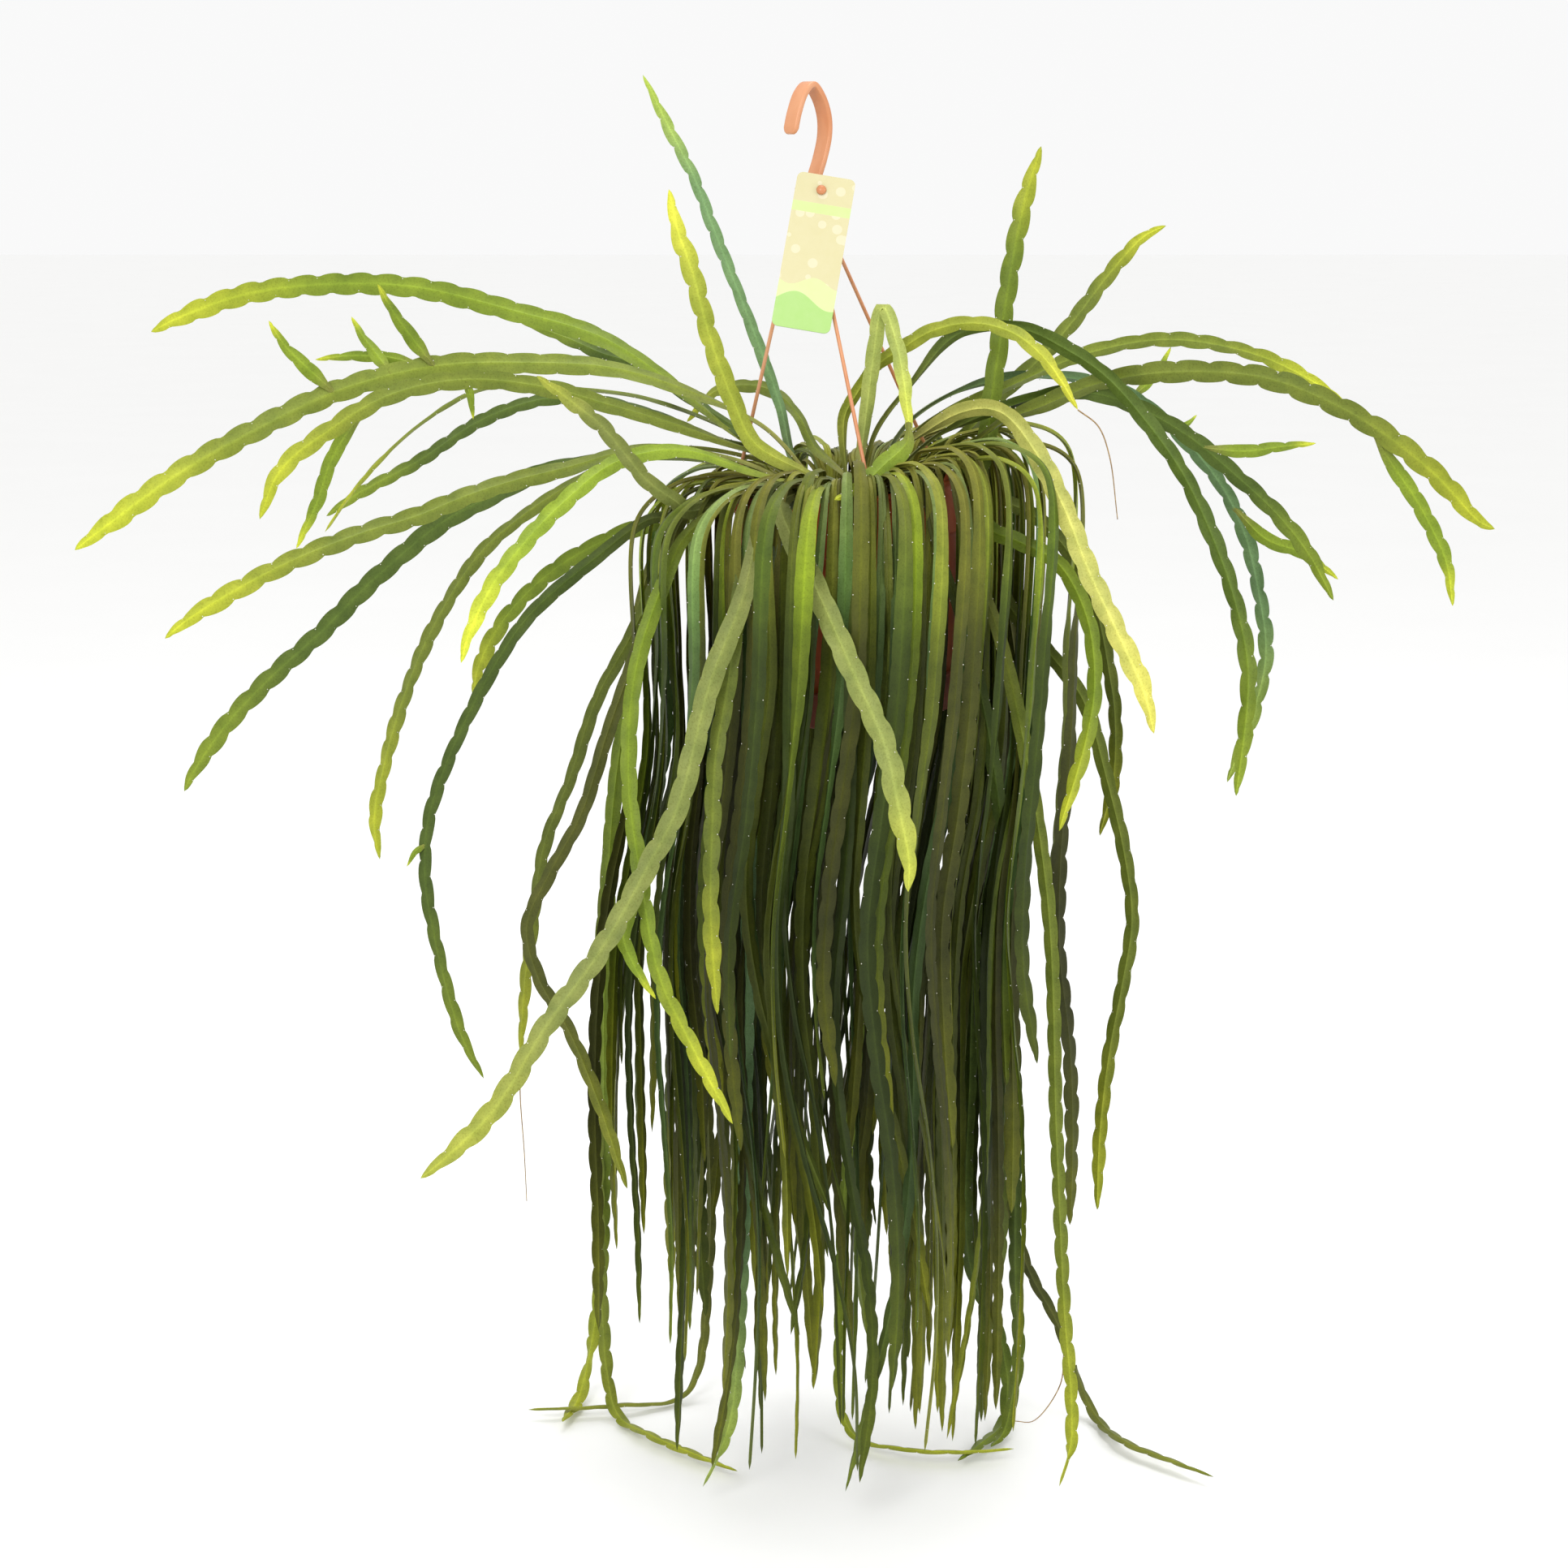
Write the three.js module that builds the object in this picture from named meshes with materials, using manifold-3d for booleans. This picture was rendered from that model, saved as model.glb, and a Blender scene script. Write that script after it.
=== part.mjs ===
// A lepismium bolivianum in its hanging pot, in millimetres: +X right, +Y away from the viewer, +Z up.
// The origin is the point under the hook's arch where the hook bears on whatever holds it up.
import * as THREE from "three";
import { mergeVertices } from "three/addons/utils/BufferGeometryUtils.js";
import Module from "manifold-3d";

const wasm = await Module();
wasm.setup();

const CLEARANCE = 0.3;

// Hanger: a band hook, a hub and three strands, moulded as one piece.
const HOOK_BAND_WIDTH = 11;
const HOOK_BAND_THICKNESS = 4;
const HOOK_TURN = 45;
const HUB_RADIUS = 9;
const HUB_TOP = -60;
const HUB_BOTTOM = -74;
const STRAND_RADIUS = 1.3;
const STRAND_AZIMUTHS = [10, 130, 250];
const BARB_WIDTH = 7;
const BARB_LENGTH = 22;
const PEG_RADIUS = 2;
const PEG_HEAD_RADIUS = 3.2;

// Pot, saucer and soil hang together, tilted as the plant's uneven weight pulls them.
const HANG_TILT = 7.75;
const HUB_TO_RIM = 182;
const RIM_RADIUS = 73;
const RIM_BAND_HEIGHT = 35;
const POT_HEIGHT = 146;
const POT_WALL = 1.5;
const POT_SHOULDER_RADIUS = 70;
const POT_FOOT_RADIUS = 53;
const LUG_REACH = 83;
const LUG_WIDTH = 15;
const LUG_THICKNESS = 2.2;
const CLIP_RADIUS = 77.5;
const SLOT_WIDTH = 3.8;
const DRAIN_RING = 36;
const DRAIN_RADIUS = 4;
const SAUCER_TOP_RADIUS = 58.5;
const SAUCER_FOOT_RADIUS = 55;
const SAUCER_HEIGHT = 25;
const BOSS_RADIUS = 6;
const SOIL_DEPTH_BELOW_RIM = 12;
const SIDES = 24;

// Plant label.
const TAG_WIDTH = 37;
const TAG_LENGTH = 101;
const TAG_THICKNESS = 0.8;
const TAG_CORNER = 4;
const TAG_LEAN = 9.7;
const TAG_FORWARD = 19.5;

// Stems.
const STOCK_SUNK = 14;
const STOCK_RISE = 3.5;
const HERO_STOCK_RADIUS = 3.1;
const CLUMP_STOCK_RADIUS = 4.2;
const STEM_THICKNESS = 2.8;
const STEM_CLEARANCE = 4.5;
const CRENATE = 0.3;
const EDGE_BEND = 0.6;
const ARCH_GROWTH = 0.3;
const CURTAIN_GROWTH = 0.62;
const FREE_ROWS = 4;
const ARCH_STEP = 30;
const CURTAIN_STEP = 112;
const RIM_STEP = 30;
const FLOOR_STEP = 34;
const SHOOT_STEP = 18;
const CROWN_RADIUS = 31;
const CROWN_STOCKS = 26;
const CROWN_PULL = 0.42;
const CLUMPS = 15;
const STEMS_PER_CLUMP = 5;
const CLUMP_LIFT = 2.4;
const CURTAIN_TRIES = 10;
const INNER_HANG = 92;
const OUTER_HANG = 150;
const FLOOR = -922;
const LYING_HEIGHT = 25;

// The viewer's eye: picture points, in pixels of a square picture, are placed along its lines of sight.
const PICTURE_CENTRE = 966;
const HOOK_PIXEL = [997, 108];
const MM_PER_PIXEL = 0.536;
const VIEW_DISTANCE = 1900;
const LOOK_DOWN = 12;

const radians = THREE.MathUtils.degToRad;
const mix = THREE.MathUtils.lerp;
const smooth = THREE.MathUtils.smoothstep;
const vec = (x, y, z) => new THREE.Vector3(x, y, z);

// Solids and booleans.

function solidOf(geometry, matrix) {
  const bare = geometry.index ? geometry.toNonIndexed() : geometry.clone();
  bare.deleteAttribute("normal");
  bare.deleteAttribute("uv");
  if (matrix) bare.applyMatrix4(matrix);
  const merged = mergeVertices(bare, 1e-4);
  return new wasm.Manifold(
    new wasm.Mesh({
      numProp: 3,
      vertProperties: merged.attributes.position.array,
      triVerts: new Uint32Array(merged.index.array),
    }),
  );
}

function geometryOf(solid) {
  const made = solid.getMesh();
  const geometry = new THREE.BufferGeometry();
  const positions = Float32Array.from(made.vertProperties);
  geometry.setAttribute("position", new THREE.BufferAttribute(positions, 3));
  geometry.setIndex(new THREE.BufferAttribute(Uint32Array.from(made.triVerts), 1));
  geometry.computeVertexNormals();
  return geometry;
}

const join = (solids) => solids.reduce((sum, next) => sum.add(next));
const cut = (solid, tools) => tools.reduce((left, tool) => left.subtract(tool), solid);

// A closed profile of [radius, height] pairs, run upwards on the outside, turned about Z.
function turned(profile, sides) {
  const points = profile.map(([r, z]) => new THREE.Vector2(r, z));
  return new THREE.LatheGeometry(points, sides).rotateX(Math.PI / 2);
}

function post(radius, low, high, x, y, sides) {
  const geometry = new THREE.CylinderGeometry(radius, radius, high - low, sides);
  return geometry.rotateX(Math.PI / 2).translate(x, y, (low + high) / 2);
}

function block(width, depth, height) {
  return new THREE.BoxGeometry(width, depth, height);
}

// Lines of sight.

function sight([across, down]) {
  const focal = VIEW_DISTANCE / MM_PER_PIXEL;
  const tilt = radians(LOOK_DOWN);
  const below = down - PICTURE_CENTRE;
  return vec(
    across - PICTURE_CENTRE,
    focal * Math.cos(tilt) - below * Math.sin(tilt),
    -focal * Math.sin(tilt) - below * Math.cos(tilt),
  );
}

const toHook = sight(HOOK_PIXEL);
const eyeDistance = VIEW_DISTANCE * Math.cos(radians(LOOK_DOWN));
const eye = toHook.clone().multiplyScalar(-eyeDistance / toHook.y);

// The point seen at a picture point, at a depth behind (+) or before (-) the hook.
function seenAt(pixel, depth) {
  const ray = sight(pixel);
  return eye.clone().addScaledVector(ray, (depth - eye.y) / ray.y);
}

// The point on the floor that is seen at a picture point.
function seenOnFloor(pixel, lift) {
  const ray = sight(pixel);
  return eye.clone().addScaledVector(ray, (FLOOR + lift - eye.z) / ray.z);
}

// The hung frame: its origin is the hub, and the pot's axis runs down its -Z.

const hung = new THREE.Group();
hung.position.set(0, 0, HUB_BOTTOM + 3);
hung.rotation.y = -radians(HANG_TILT);
hung.updateMatrixWorld(true);

const RIM = -HUB_TO_RIM;
const SOIL = RIM - SOIL_DEPTH_BELOW_RIM;
const POT_FLOOR = RIM - POT_HEIGHT;
const fromHung = (x, y, z) => vec(x, y, z).applyMatrix4(hung.matrixWorld);
const soilCentre = fromHung(0, 0, SOIL);

// Directions round the pot are measured from the front, towards the right.
const around = (radius, azimuth) => [
  radius * Math.sin(radians(azimuth)),
  -radius * Math.cos(radians(azimuth)),
];

// Pot.

function lugSolid(azimuth) {
  const root = RIM_RADIUS - 2;
  const [x, y] = around((root + LUG_REACH) / 2, azimuth);
  const lug = block(LUG_WIDTH, LUG_REACH - root, LUG_THICKNESS);
  return solidOf(lug.rotateZ(radians(azimuth)).translate(x, y, RIM - LUG_THICKNESS / 2));
}

function potSolid() {
  const inner = (radius) => radius - POT_WALL;
  const step = RIM - RIM_BAND_HEIGHT;
  const profile = [
    [0, POT_FLOOR],
    [POT_FOOT_RADIUS, POT_FLOOR],
    [POT_SHOULDER_RADIUS, step],
    [RIM_RADIUS - 0.6, step + 2],
    [RIM_RADIUS - 0.6, RIM - 4],
    [RIM_RADIUS + 1, RIM - 4],
    [RIM_RADIUS + 1, RIM],
    [inner(RIM_RADIUS) - 0.6, RIM],
    [inner(RIM_RADIUS) - 0.6, step + 3],
    [inner(POT_SHOULDER_RADIUS), step + 1],
    [inner(POT_FOOT_RADIUS), POT_FLOOR + POT_WALL],
    [0, POT_FLOOR + POT_WALL],
  ];
  const shell = solidOf(turned(profile, SIDES));
  const slots = STRAND_AZIMUTHS.map((azimuth) => {
    const [x, y] = around(CLIP_RADIUS, azimuth);
    const slot = block(SLOT_WIDTH, SLOT_WIDTH, 12);
    return solidOf(slot.rotateZ(radians(azimuth)).translate(x, y, RIM));
  });
  const drains = [0, 60, 120, 180, 240, 300].map((azimuth) => {
    const [x, y] = around(DRAIN_RING, azimuth);
    return solidOf(post(DRAIN_RADIUS, POT_FLOOR - 2, POT_FLOOR + 4, x, y, 10));
  });
  const bossHole = solidOf(post(BOSS_RADIUS + CLEARANCE, POT_FLOOR - 2, POT_FLOOR + 4, 0, 0, 16));
  const body = join([shell, ...STRAND_AZIMUTHS.map(lugSolid)]);
  return cut(body, [...slots, ...drains, bossHole]);
}

// Saucer, with the snap boss that stands up through the pot's floor.

function saucerSolid() {
  const floor = POT_FLOOR - CLEARANCE;
  const underside = floor - POT_WALL;
  const lip = underside + SAUCER_HEIGHT;
  const profile = [
    [0, underside],
    [SAUCER_FOOT_RADIUS, underside],
    [SAUCER_TOP_RADIUS, lip - 2],
    [SAUCER_TOP_RADIUS + 1, lip - 2],
    [SAUCER_TOP_RADIUS + 1, lip],
    [SAUCER_TOP_RADIUS - POT_WALL, lip],
    [SAUCER_FOOT_RADIUS - POT_WALL + 0.5, floor],
    [BOSS_RADIUS, floor],
    [BOSS_RADIUS, POT_FLOOR + 2.5],
    [0, POT_FLOOR + 3.5],
  ];
  return solidOf(turned(profile, SIDES));
}

// Soil, which fills the pot nearly to its rim, with a plain hole for each stock.

function soilSolid(stocks) {
  const gap = POT_WALL + CLEARANCE;
  const step = RIM - RIM_BAND_HEIGHT;
  const low = POT_FLOOR + gap;
  const profile = [
    [0, low + 2.5],
    [BOSS_RADIUS + 2, low + 2.5],
    [BOSS_RADIUS + 2, low],
    [POT_FOOT_RADIUS - gap - 0.2, low],
    [POT_SHOULDER_RADIUS - gap - 0.2, step + 1.2],
    [RIM_RADIUS - 0.6 - gap - 0.2, step + 3.4],
    [RIM_RADIUS - 0.6 - gap - 0.2, SOIL],
    [0, SOIL],
  ];
  const holes = stocks.map(({ x, y, radius }) =>
    solidOf(post(radius + 2 * CLEARANCE, SOIL - STOCK_SUNK - 2 * CLEARANCE, SOIL + 9, x, y, 5)),
  );
  return cut(solidOf(turned(profile, SIDES)), holes);
}

// Hanger.

function bandOutline(centreline, halfThickness) {
  const curve = new THREE.SplineCurve(centreline.map(([u, z]) => new THREE.Vector2(u, z)));
  const steps = 18;
  const sides = [1, -1].map((side) =>
    Array.from({ length: steps + 1 }, (_, i) => {
      const along = curve.getTangent(i / steps);
      const offset = new THREE.Vector2(-along.y, along.x).multiplyScalar(side * halfThickness);
      return curve.getPoint(i / steps).add(offset);
    }),
  );
  return new THREE.Shape([...sides[0], ...sides[1].reverse()]);
}

function hookSolid() {
  // Across the hook's own plane and up, from the free tip over the arch and down the shank to the hub.
  const centreline = [
    [-17, -29],
    [-13, -15],
    [-7, -3],
    [0, HOOK_BAND_THICKNESS / 2],
    [8, -5],
    [13.5, -17],
    [14, -29],
    [10, -43],
    [4.5, -56],
    [1, -68],
  ];
  const outline = bandOutline(centreline, HOOK_BAND_THICKNESS / 2);
  const band = new THREE.ExtrudeGeometry(outline, { depth: HOOK_BAND_WIDTH, bevelEnabled: false });
  band.translate(0, 0, -HOOK_BAND_WIDTH / 2).rotateX(Math.PI / 2).rotateZ(radians(HOOK_TURN));
  return solidOf(band);
}

function rod(from, to, radius, sides) {
  const along = to.clone().sub(from);
  const geometry = new THREE.CylinderGeometry(radius, radius, along.length(), sides);
  const turn = new THREE.Quaternion().setFromUnitVectors(vec(0, 1, 0), along.normalize());
  const middle = from.clone().add(to).multiplyScalar(0.5);
  return geometry.applyQuaternion(turn).translate(middle.x, middle.y, middle.z);
}

// A strand from the hub straight down to its slot, and the barb under the lug that holds it there.
function strandSolid(azimuth) {
  const [x, y] = around(CLIP_RADIUS, azimuth);
  const [hubX, hubY] = around(HUB_RADIUS - 3, azimuth);
  const top = vec(hubX, hubY, 0);
  const knee = vec(x, y, RIM + 3);
  const strand = solidOf(rod(top, knee, STRAND_RADIUS, 6));
  const neck = solidOf(post(STRAND_RADIUS, RIM - LUG_THICKNESS - 4, RIM + 3.8, x, y, 6));
  const barbTop = RIM - LUG_THICKNESS - CLEARANCE;
  const half = BARB_WIDTH / 2;
  const outline = new THREE.Shape([
    new THREE.Vector2(-half, 0),
    new THREE.Vector2(-0.8, -BARB_LENGTH),
    new THREE.Vector2(0.8, -BARB_LENGTH),
    new THREE.Vector2(half, 0),
  ]);
  const barb = new THREE.ExtrudeGeometry(outline, { depth: 2 * STRAND_RADIUS, bevelEnabled: false });
  barb.translate(0, 0, -STRAND_RADIUS).rotateX(Math.PI / 2).rotateZ(radians(azimuth));
  barb.translate(x, y, barbTop);
  return join([strand, neck, solidOf(barb)]);
}

const tagHole = seenAt([1012, 235], -HUB_RADIUS - 3);
const tagTurn = new THREE.Euler(-radians(TAG_FORWARD), radians(TAG_LEAN), 0, "XYZ");

function hangerSolid() {
  const hub = solidOf(post(HUB_RADIUS, HUB_BOTTOM, HUB_TOP, 0, 0, 16));
  const out = vec(0, -1, 0).applyEuler(tagTurn);
  const pegRoot = tagHole.clone().addScaledVector(out, -HUB_RADIUS);
  const pegEnd = tagHole.clone().addScaledVector(out, TAG_THICKNESS + 1);
  const headEnd = pegEnd.clone().addScaledVector(out, 1.2);
  const peg = solidOf(rod(pegRoot, pegEnd, PEG_RADIUS, 12));
  const head = solidOf(rod(pegEnd, headEnd, PEG_HEAD_RADIUS, 12));
  const strands = STRAND_AZIMUTHS.map((azimuth) => strandSolid(azimuth).transform(hung.matrixWorld.elements));
  return join([hookSolid(), hub, peg, head, ...strands]);
}

// Tag, in its own frame: the hole at the origin, the card below it.

function tagSolid() {
  const right = 20.5;
  const top = 10;
  const left = right - TAG_WIDTH;
  const bottom = top - TAG_LENGTH;
  const outline = new THREE.Shape();
  outline.moveTo(left + TAG_CORNER, bottom);
  outline.lineTo(right - TAG_CORNER, bottom);
  outline.absarc(right - TAG_CORNER, bottom + TAG_CORNER, TAG_CORNER, -Math.PI / 2, 0);
  outline.absarc(right - TAG_CORNER, top - TAG_CORNER, TAG_CORNER, 0, Math.PI / 2);
  outline.absarc(left + TAG_CORNER, top - TAG_CORNER, TAG_CORNER, Math.PI / 2, Math.PI);
  outline.absarc(left + TAG_CORNER, bottom + TAG_CORNER, TAG_CORNER, Math.PI, Math.PI * 1.5);
  const hole = new THREE.Path();
  const sides = 12;
  for (let i = 0; i <= sides; i++) {
    const angle = (2 * Math.PI * i) / sides;
    const [x, y] = [Math.cos(angle), Math.sin(angle)].map((share) => share * (PEG_RADIUS + 2 * CLEARANCE));
    if (i === 0) hole.moveTo(x, y);
    else hole.lineTo(x, y);
  }
  outline.holes.push(hole);
  const settings = { depth: TAG_THICKNESS, bevelEnabled: false, curveSegments: 3 };
  return new THREE.ExtrudeGeometry(outline, settings).rotateX(Math.PI / 2);
}

// Stems.

let dice = 20;
function chance() {
  dice = (dice * 16807) % 2147483647;
  return dice / 2147483647;
}

// Half widths along a stem: slim at the base, full from a third of the way, drawn out to a point at the end.
function widthAt(along, length, width, base) {
  const grown = mix(base, width, smooth(along, 0.04 * length, 0.3 * length));
  const left = length - along;
  return (grown / 2) * mix(0.42, 1, smooth(left, 0, 42));
}

// A flat stem with a raised midrib, from its first row to its tip. The rows lie closer together near the base.
// Its margins swing out in turn, left and right, in crenate lobes.
// Rows of four points (margin, rib, margin, rib) end in one tip point.
function stemSolid({ path, width, base, step, growth, faceAt, grow = 0, first = 0 }) {
  const curve = new THREE.CatmullRomCurve3(path, false, "centripetal");
  curve.arcLengthDivisions = 400;
  const length = curve.getLength();
  const count = Math.max(5, Math.round(length / step));
  const rows = count - first;
  const frames = Array.from({ length: count }, (_, i) => {
    const u = mix(i / count, (i / count) ** 2, growth);
    const at = curve.getPointAt(u);
    const along = curve.getTangentAt(u);
    return { u, at, along, across: faceAt(u, at, along).normalize() };
  });
  const points = [];
  for (let i = first; i < count; i++) {
    const { u, at, along, across } = frames[i];
    const out = across.clone().cross(along).normalize();
    const bends = [frames[i - 1], frames[i + 1]].filter(Boolean).map((near) => (
      near.at.distanceTo(at) / Math.abs(near.along.clone().sub(along).dot(across))
    ));
    const half = Math.min(widthAt(u * length, length, width, base), EDGE_BEND * Math.min(...bends)) + grow;
    const swing = (i % 2 ? 1 : -1) * CRENATE * mix(0.35, 1, u);
    const thick = (STEM_THICKNESS / 2) * mix(1, 0.7, u) + grow;
    points.push(at.clone().addScaledVector(across, -half * (1 + swing)));
    points.push(at.clone().addScaledVector(out, thick));
    points.push(at.clone().addScaledVector(across, half * (1 - swing)));
    points.push(at.clone().addScaledVector(out, -thick));
  }
  points.push(curve.getPointAt(1));
  const sides = 4;
  const tip = rows * sides;
  const faces = [];
  for (let i = 0; i < rows; i++) {
    for (let side = 0; side < sides; side++) {
      const next = (side + 1) % sides;
      const a = i * sides + side;
      const b = i * sides + next;
      if (i === rows - 1) {
        faces.push(a, b, tip);
        continue;
      }
      const c = b + sides;
      const d = a + sides;
      // Every quad is split from a margin to the next rib, alike on both faces.
      if (side % 2 === 0) faces.push(a, b, c, a, c, d);
      else faces.push(a, b, d, b, c, d);
    }
  }
  for (let side = 1; side < sides - 1; side++) faces.push(0, side + 1, side);
  const geometry = new THREE.BufferGeometry();
  const flat = Float32Array.from(points.flatMap((p) => p.toArray()));
  geometry.setAttribute("position", new THREE.BufferAttribute(flat, 3));
  geometry.setIndex(faces);
  const made = solidOf(geometry);
  if (made.volume() > 0) return made;
  for (let i = 0; i < faces.length; i += 3) [faces[i], faces[i + 1]] = [faces[i + 1], faces[i]];
  geometry.setIndex(faces);
  return solidOf(geometry);
}

function stockSolid(stock) {
  const made = post(stock.radius, SOIL - STOCK_SUNK, SOIL + STOCK_RISE, stock.x, stock.y, 5);
  return solidOf(made, hung.matrixWorld);
}

const stockTop = (stock, rise) => fromHung(stock.x, stock.y, SOIL + STOCK_RISE + rise);

// Stems that show on their own. Each has its route as picture points from the crown to the tip, the depth of
// its start and end, its width, and how far its flat side is turned from the viewer at the start and end.
const SHOWN_STEMS = {
  high_left: {
    route: [[988, 588], [950, 566], [890, 524], [818, 466], [741, 417], [634, 384], [515, 355], [416, 350],
      [301, 363], [218, 393], [186, 409]],
    deep: [9, 130], width: 13.5, turn: [70, 12],
  },
  high_left_twin: {
    route: [[985, 580], [930, 545], [880, 512], [820, 470], [770, 445], [741, 436], [700, 418], [640, 396]],
    deep: [15, 120], beside: "high_left", width: 9, turn: [60, 30],
  },
  long_left: {
    route: [[1004, 582], [945, 529], [863, 489], [761, 456], [653, 448], [535, 452], [416, 482], [301, 537],
      [218, 585], [139, 642], [92, 678]],
    deep: [-7, -80], width: 13.5, turn: [75, 8],
  },
  mid_left: {
    route: [[1000, 592], [955, 566], [900, 548], [835, 525], [741, 497], [673, 478], [574, 468], [483, 486],
      [408, 529], [345, 581], [320, 640]],
    deep: [-16, -170], width: 11, turn: [70, 10],
  },
  under_left: {
    route: [[1000, 585], [940, 556], [880, 540], [800, 510], [741, 494], [673, 492], [594, 518], [515, 569],
      [436, 612], [402, 636]],
    deep: [22, 200], width: 9.5, turn: [65, 25],
  },
  thin_left: {
    route: [[996, 580], [900, 530], [800, 492], [741, 482], [673, 478], [594, 480], [515, 525], [442, 597],
      [400, 656]],
    deep: [16, 60], beside: "under_left", width: 9, turn: [80, 75],
  },
  low_left: {
    route: [[990, 594], [930, 575], [880, 560], [820, 553], [760, 560], [700, 577], [634, 593], [574, 612],
      [515, 636], [444, 658], [344, 699], [233, 763], [203, 787]],
    deep: [-22, -210], width: 11.5, turn: [75, 15],
  },
  dark_left: {
    route: [[985, 600], [930, 582], [860, 566], [790, 560], [720, 570], [660, 585], [600, 615], [547, 643],
      [462, 713], [397, 778], [335, 834], [280, 892], [239, 951], [227, 975]],
    deep: [3, 20], width: 12, turn: [70, 10],
  },
  bow_left: {
    route: [[985, 586], [900, 558], [830, 552], [760, 568], [700, 600], [640, 640], [591, 684], [535, 772],
      [497, 863], [473, 948], [462, 1010], [468, 1059]],
    deep: [20, 150], width: 10.5, turn: [75, 30],
  },
  short_left: {
    route: [[985, 602], [920, 580], [840, 556], [760, 570], [696, 618], [645, 671], [605, 725], [576, 787],
      [568, 817]],
    deep: [-24, -150], width: 10.5, turn: [70, 10],
  },
  top_left: {
    route: [[1000, 600], [982, 574], [961, 501], [929, 411], [880, 285], [855, 219], [826, 162], [792, 92]],
    deep: [14, 60], width: 8, turn: [40, 20],
  },
  upright_left: {
    route: [[975, 590], [930, 548], [906, 501], [877, 423], [851, 329], [835, 284], [824, 233]],
    deep: [-10, -50], width: 11.5, turn: [30, 10],
  },
  behind_left: {
    route: [[1014, 586], [1002, 550], [986, 517], [961, 489], [929, 476], [880, 484], [846, 520]],
    deep: [24, 110], width: 9, turn: [60, 30],
  },
  raised_right: {
    route: [[1060, 590], [1110, 570], [1180, 540], [1232, 487], [1285, 438], [1326, 391], [1368, 336],
      [1410, 291], [1437, 278]],
    deep: [11, 100], width: 10, turn: [70, 10],
  },
  yellow_right: {
    route: [[1024, 584], [1039, 515], [1055, 484], [1080, 450], [1108, 431], [1150, 407], [1200, 398],
      [1250, 411], [1290, 445], [1318, 487], [1328, 505]],
    deep: [-4, -60], width: 9, turn: [50, 10],
  },
  arch_right: {
    route: [[1040, 590], [1080, 530], [1120, 476], [1180, 410], [1258, 404], [1310, 427], [1363, 463],
      [1415, 522], [1458, 584], [1493, 658], [1520, 734], [1537, 813], [1537, 869], [1523, 981]],
    deep: [-15, -100], width: 10.5, turn: [60, 20],
  },
  pale_arch_right: {
    route: [[1050, 585], [1120, 520], [1200, 474], [1300, 462], [1389, 485], [1443, 525], [1500, 590],
      [1532, 652], [1551, 728], [1560, 807], [1546, 874], [1512, 964]],
    deep: [17, 110], width: 10.5, turn: [70, 25],
  },
  long_right: {
    route: [[1050, 592], [1110, 578], [1180, 556], [1240, 515], [1280, 500], [1353, 471], [1443, 458],
      [1552, 464], [1625, 489], [1698, 529], [1771, 587], [1822, 642], [1842, 652]],
    deep: [-11, -80], width: 13, turn: [75, 10],
  },
  upper_right: {
    route: [[1045, 580], [1130, 530], [1240, 476], [1342, 434], [1443, 418], [1552, 438], [1625, 474],
      [1656, 495]],
    deep: [24, 140], width: 9.5, turn: [65, 20],
  },
  green_right: {
    route: [[1064, 588], [1150, 540], [1240, 500], [1327, 482], [1389, 496], [1462, 536], [1516, 580],
      [1574, 634], [1614, 685], [1643, 740]],
    deep: [3, 30], width: 10.5, turn: [70, 10],
  },
  cream_right: {
    route: [[1055, 597], [1100, 560], [1140, 530], [1180, 508], [1214, 502], [1240, 511], [1278, 560],
      [1311, 626], [1341, 703], [1374, 774], [1408, 848], [1422, 904]],
    deep: [-24, -150], width: 12.5, turn: [60, 5],
  },
  stub_right: {
    route: [[1065, 592], [1110, 573], [1176, 553], [1217, 549], [1268, 550]],
    deep: [25, 90], beside: "upper_right", width: 9, turn: [60, 10],
  },
  folded: {
    route: [[1052, 590], [1061, 554], [1067, 509], [1075, 448], [1088, 378], [1100, 407], [1110, 448],
      [1116, 489], [1122, 546]],
    deep: [-19, -50], step: 7, width: 9, turn: [30, 5],
  },
};

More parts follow.
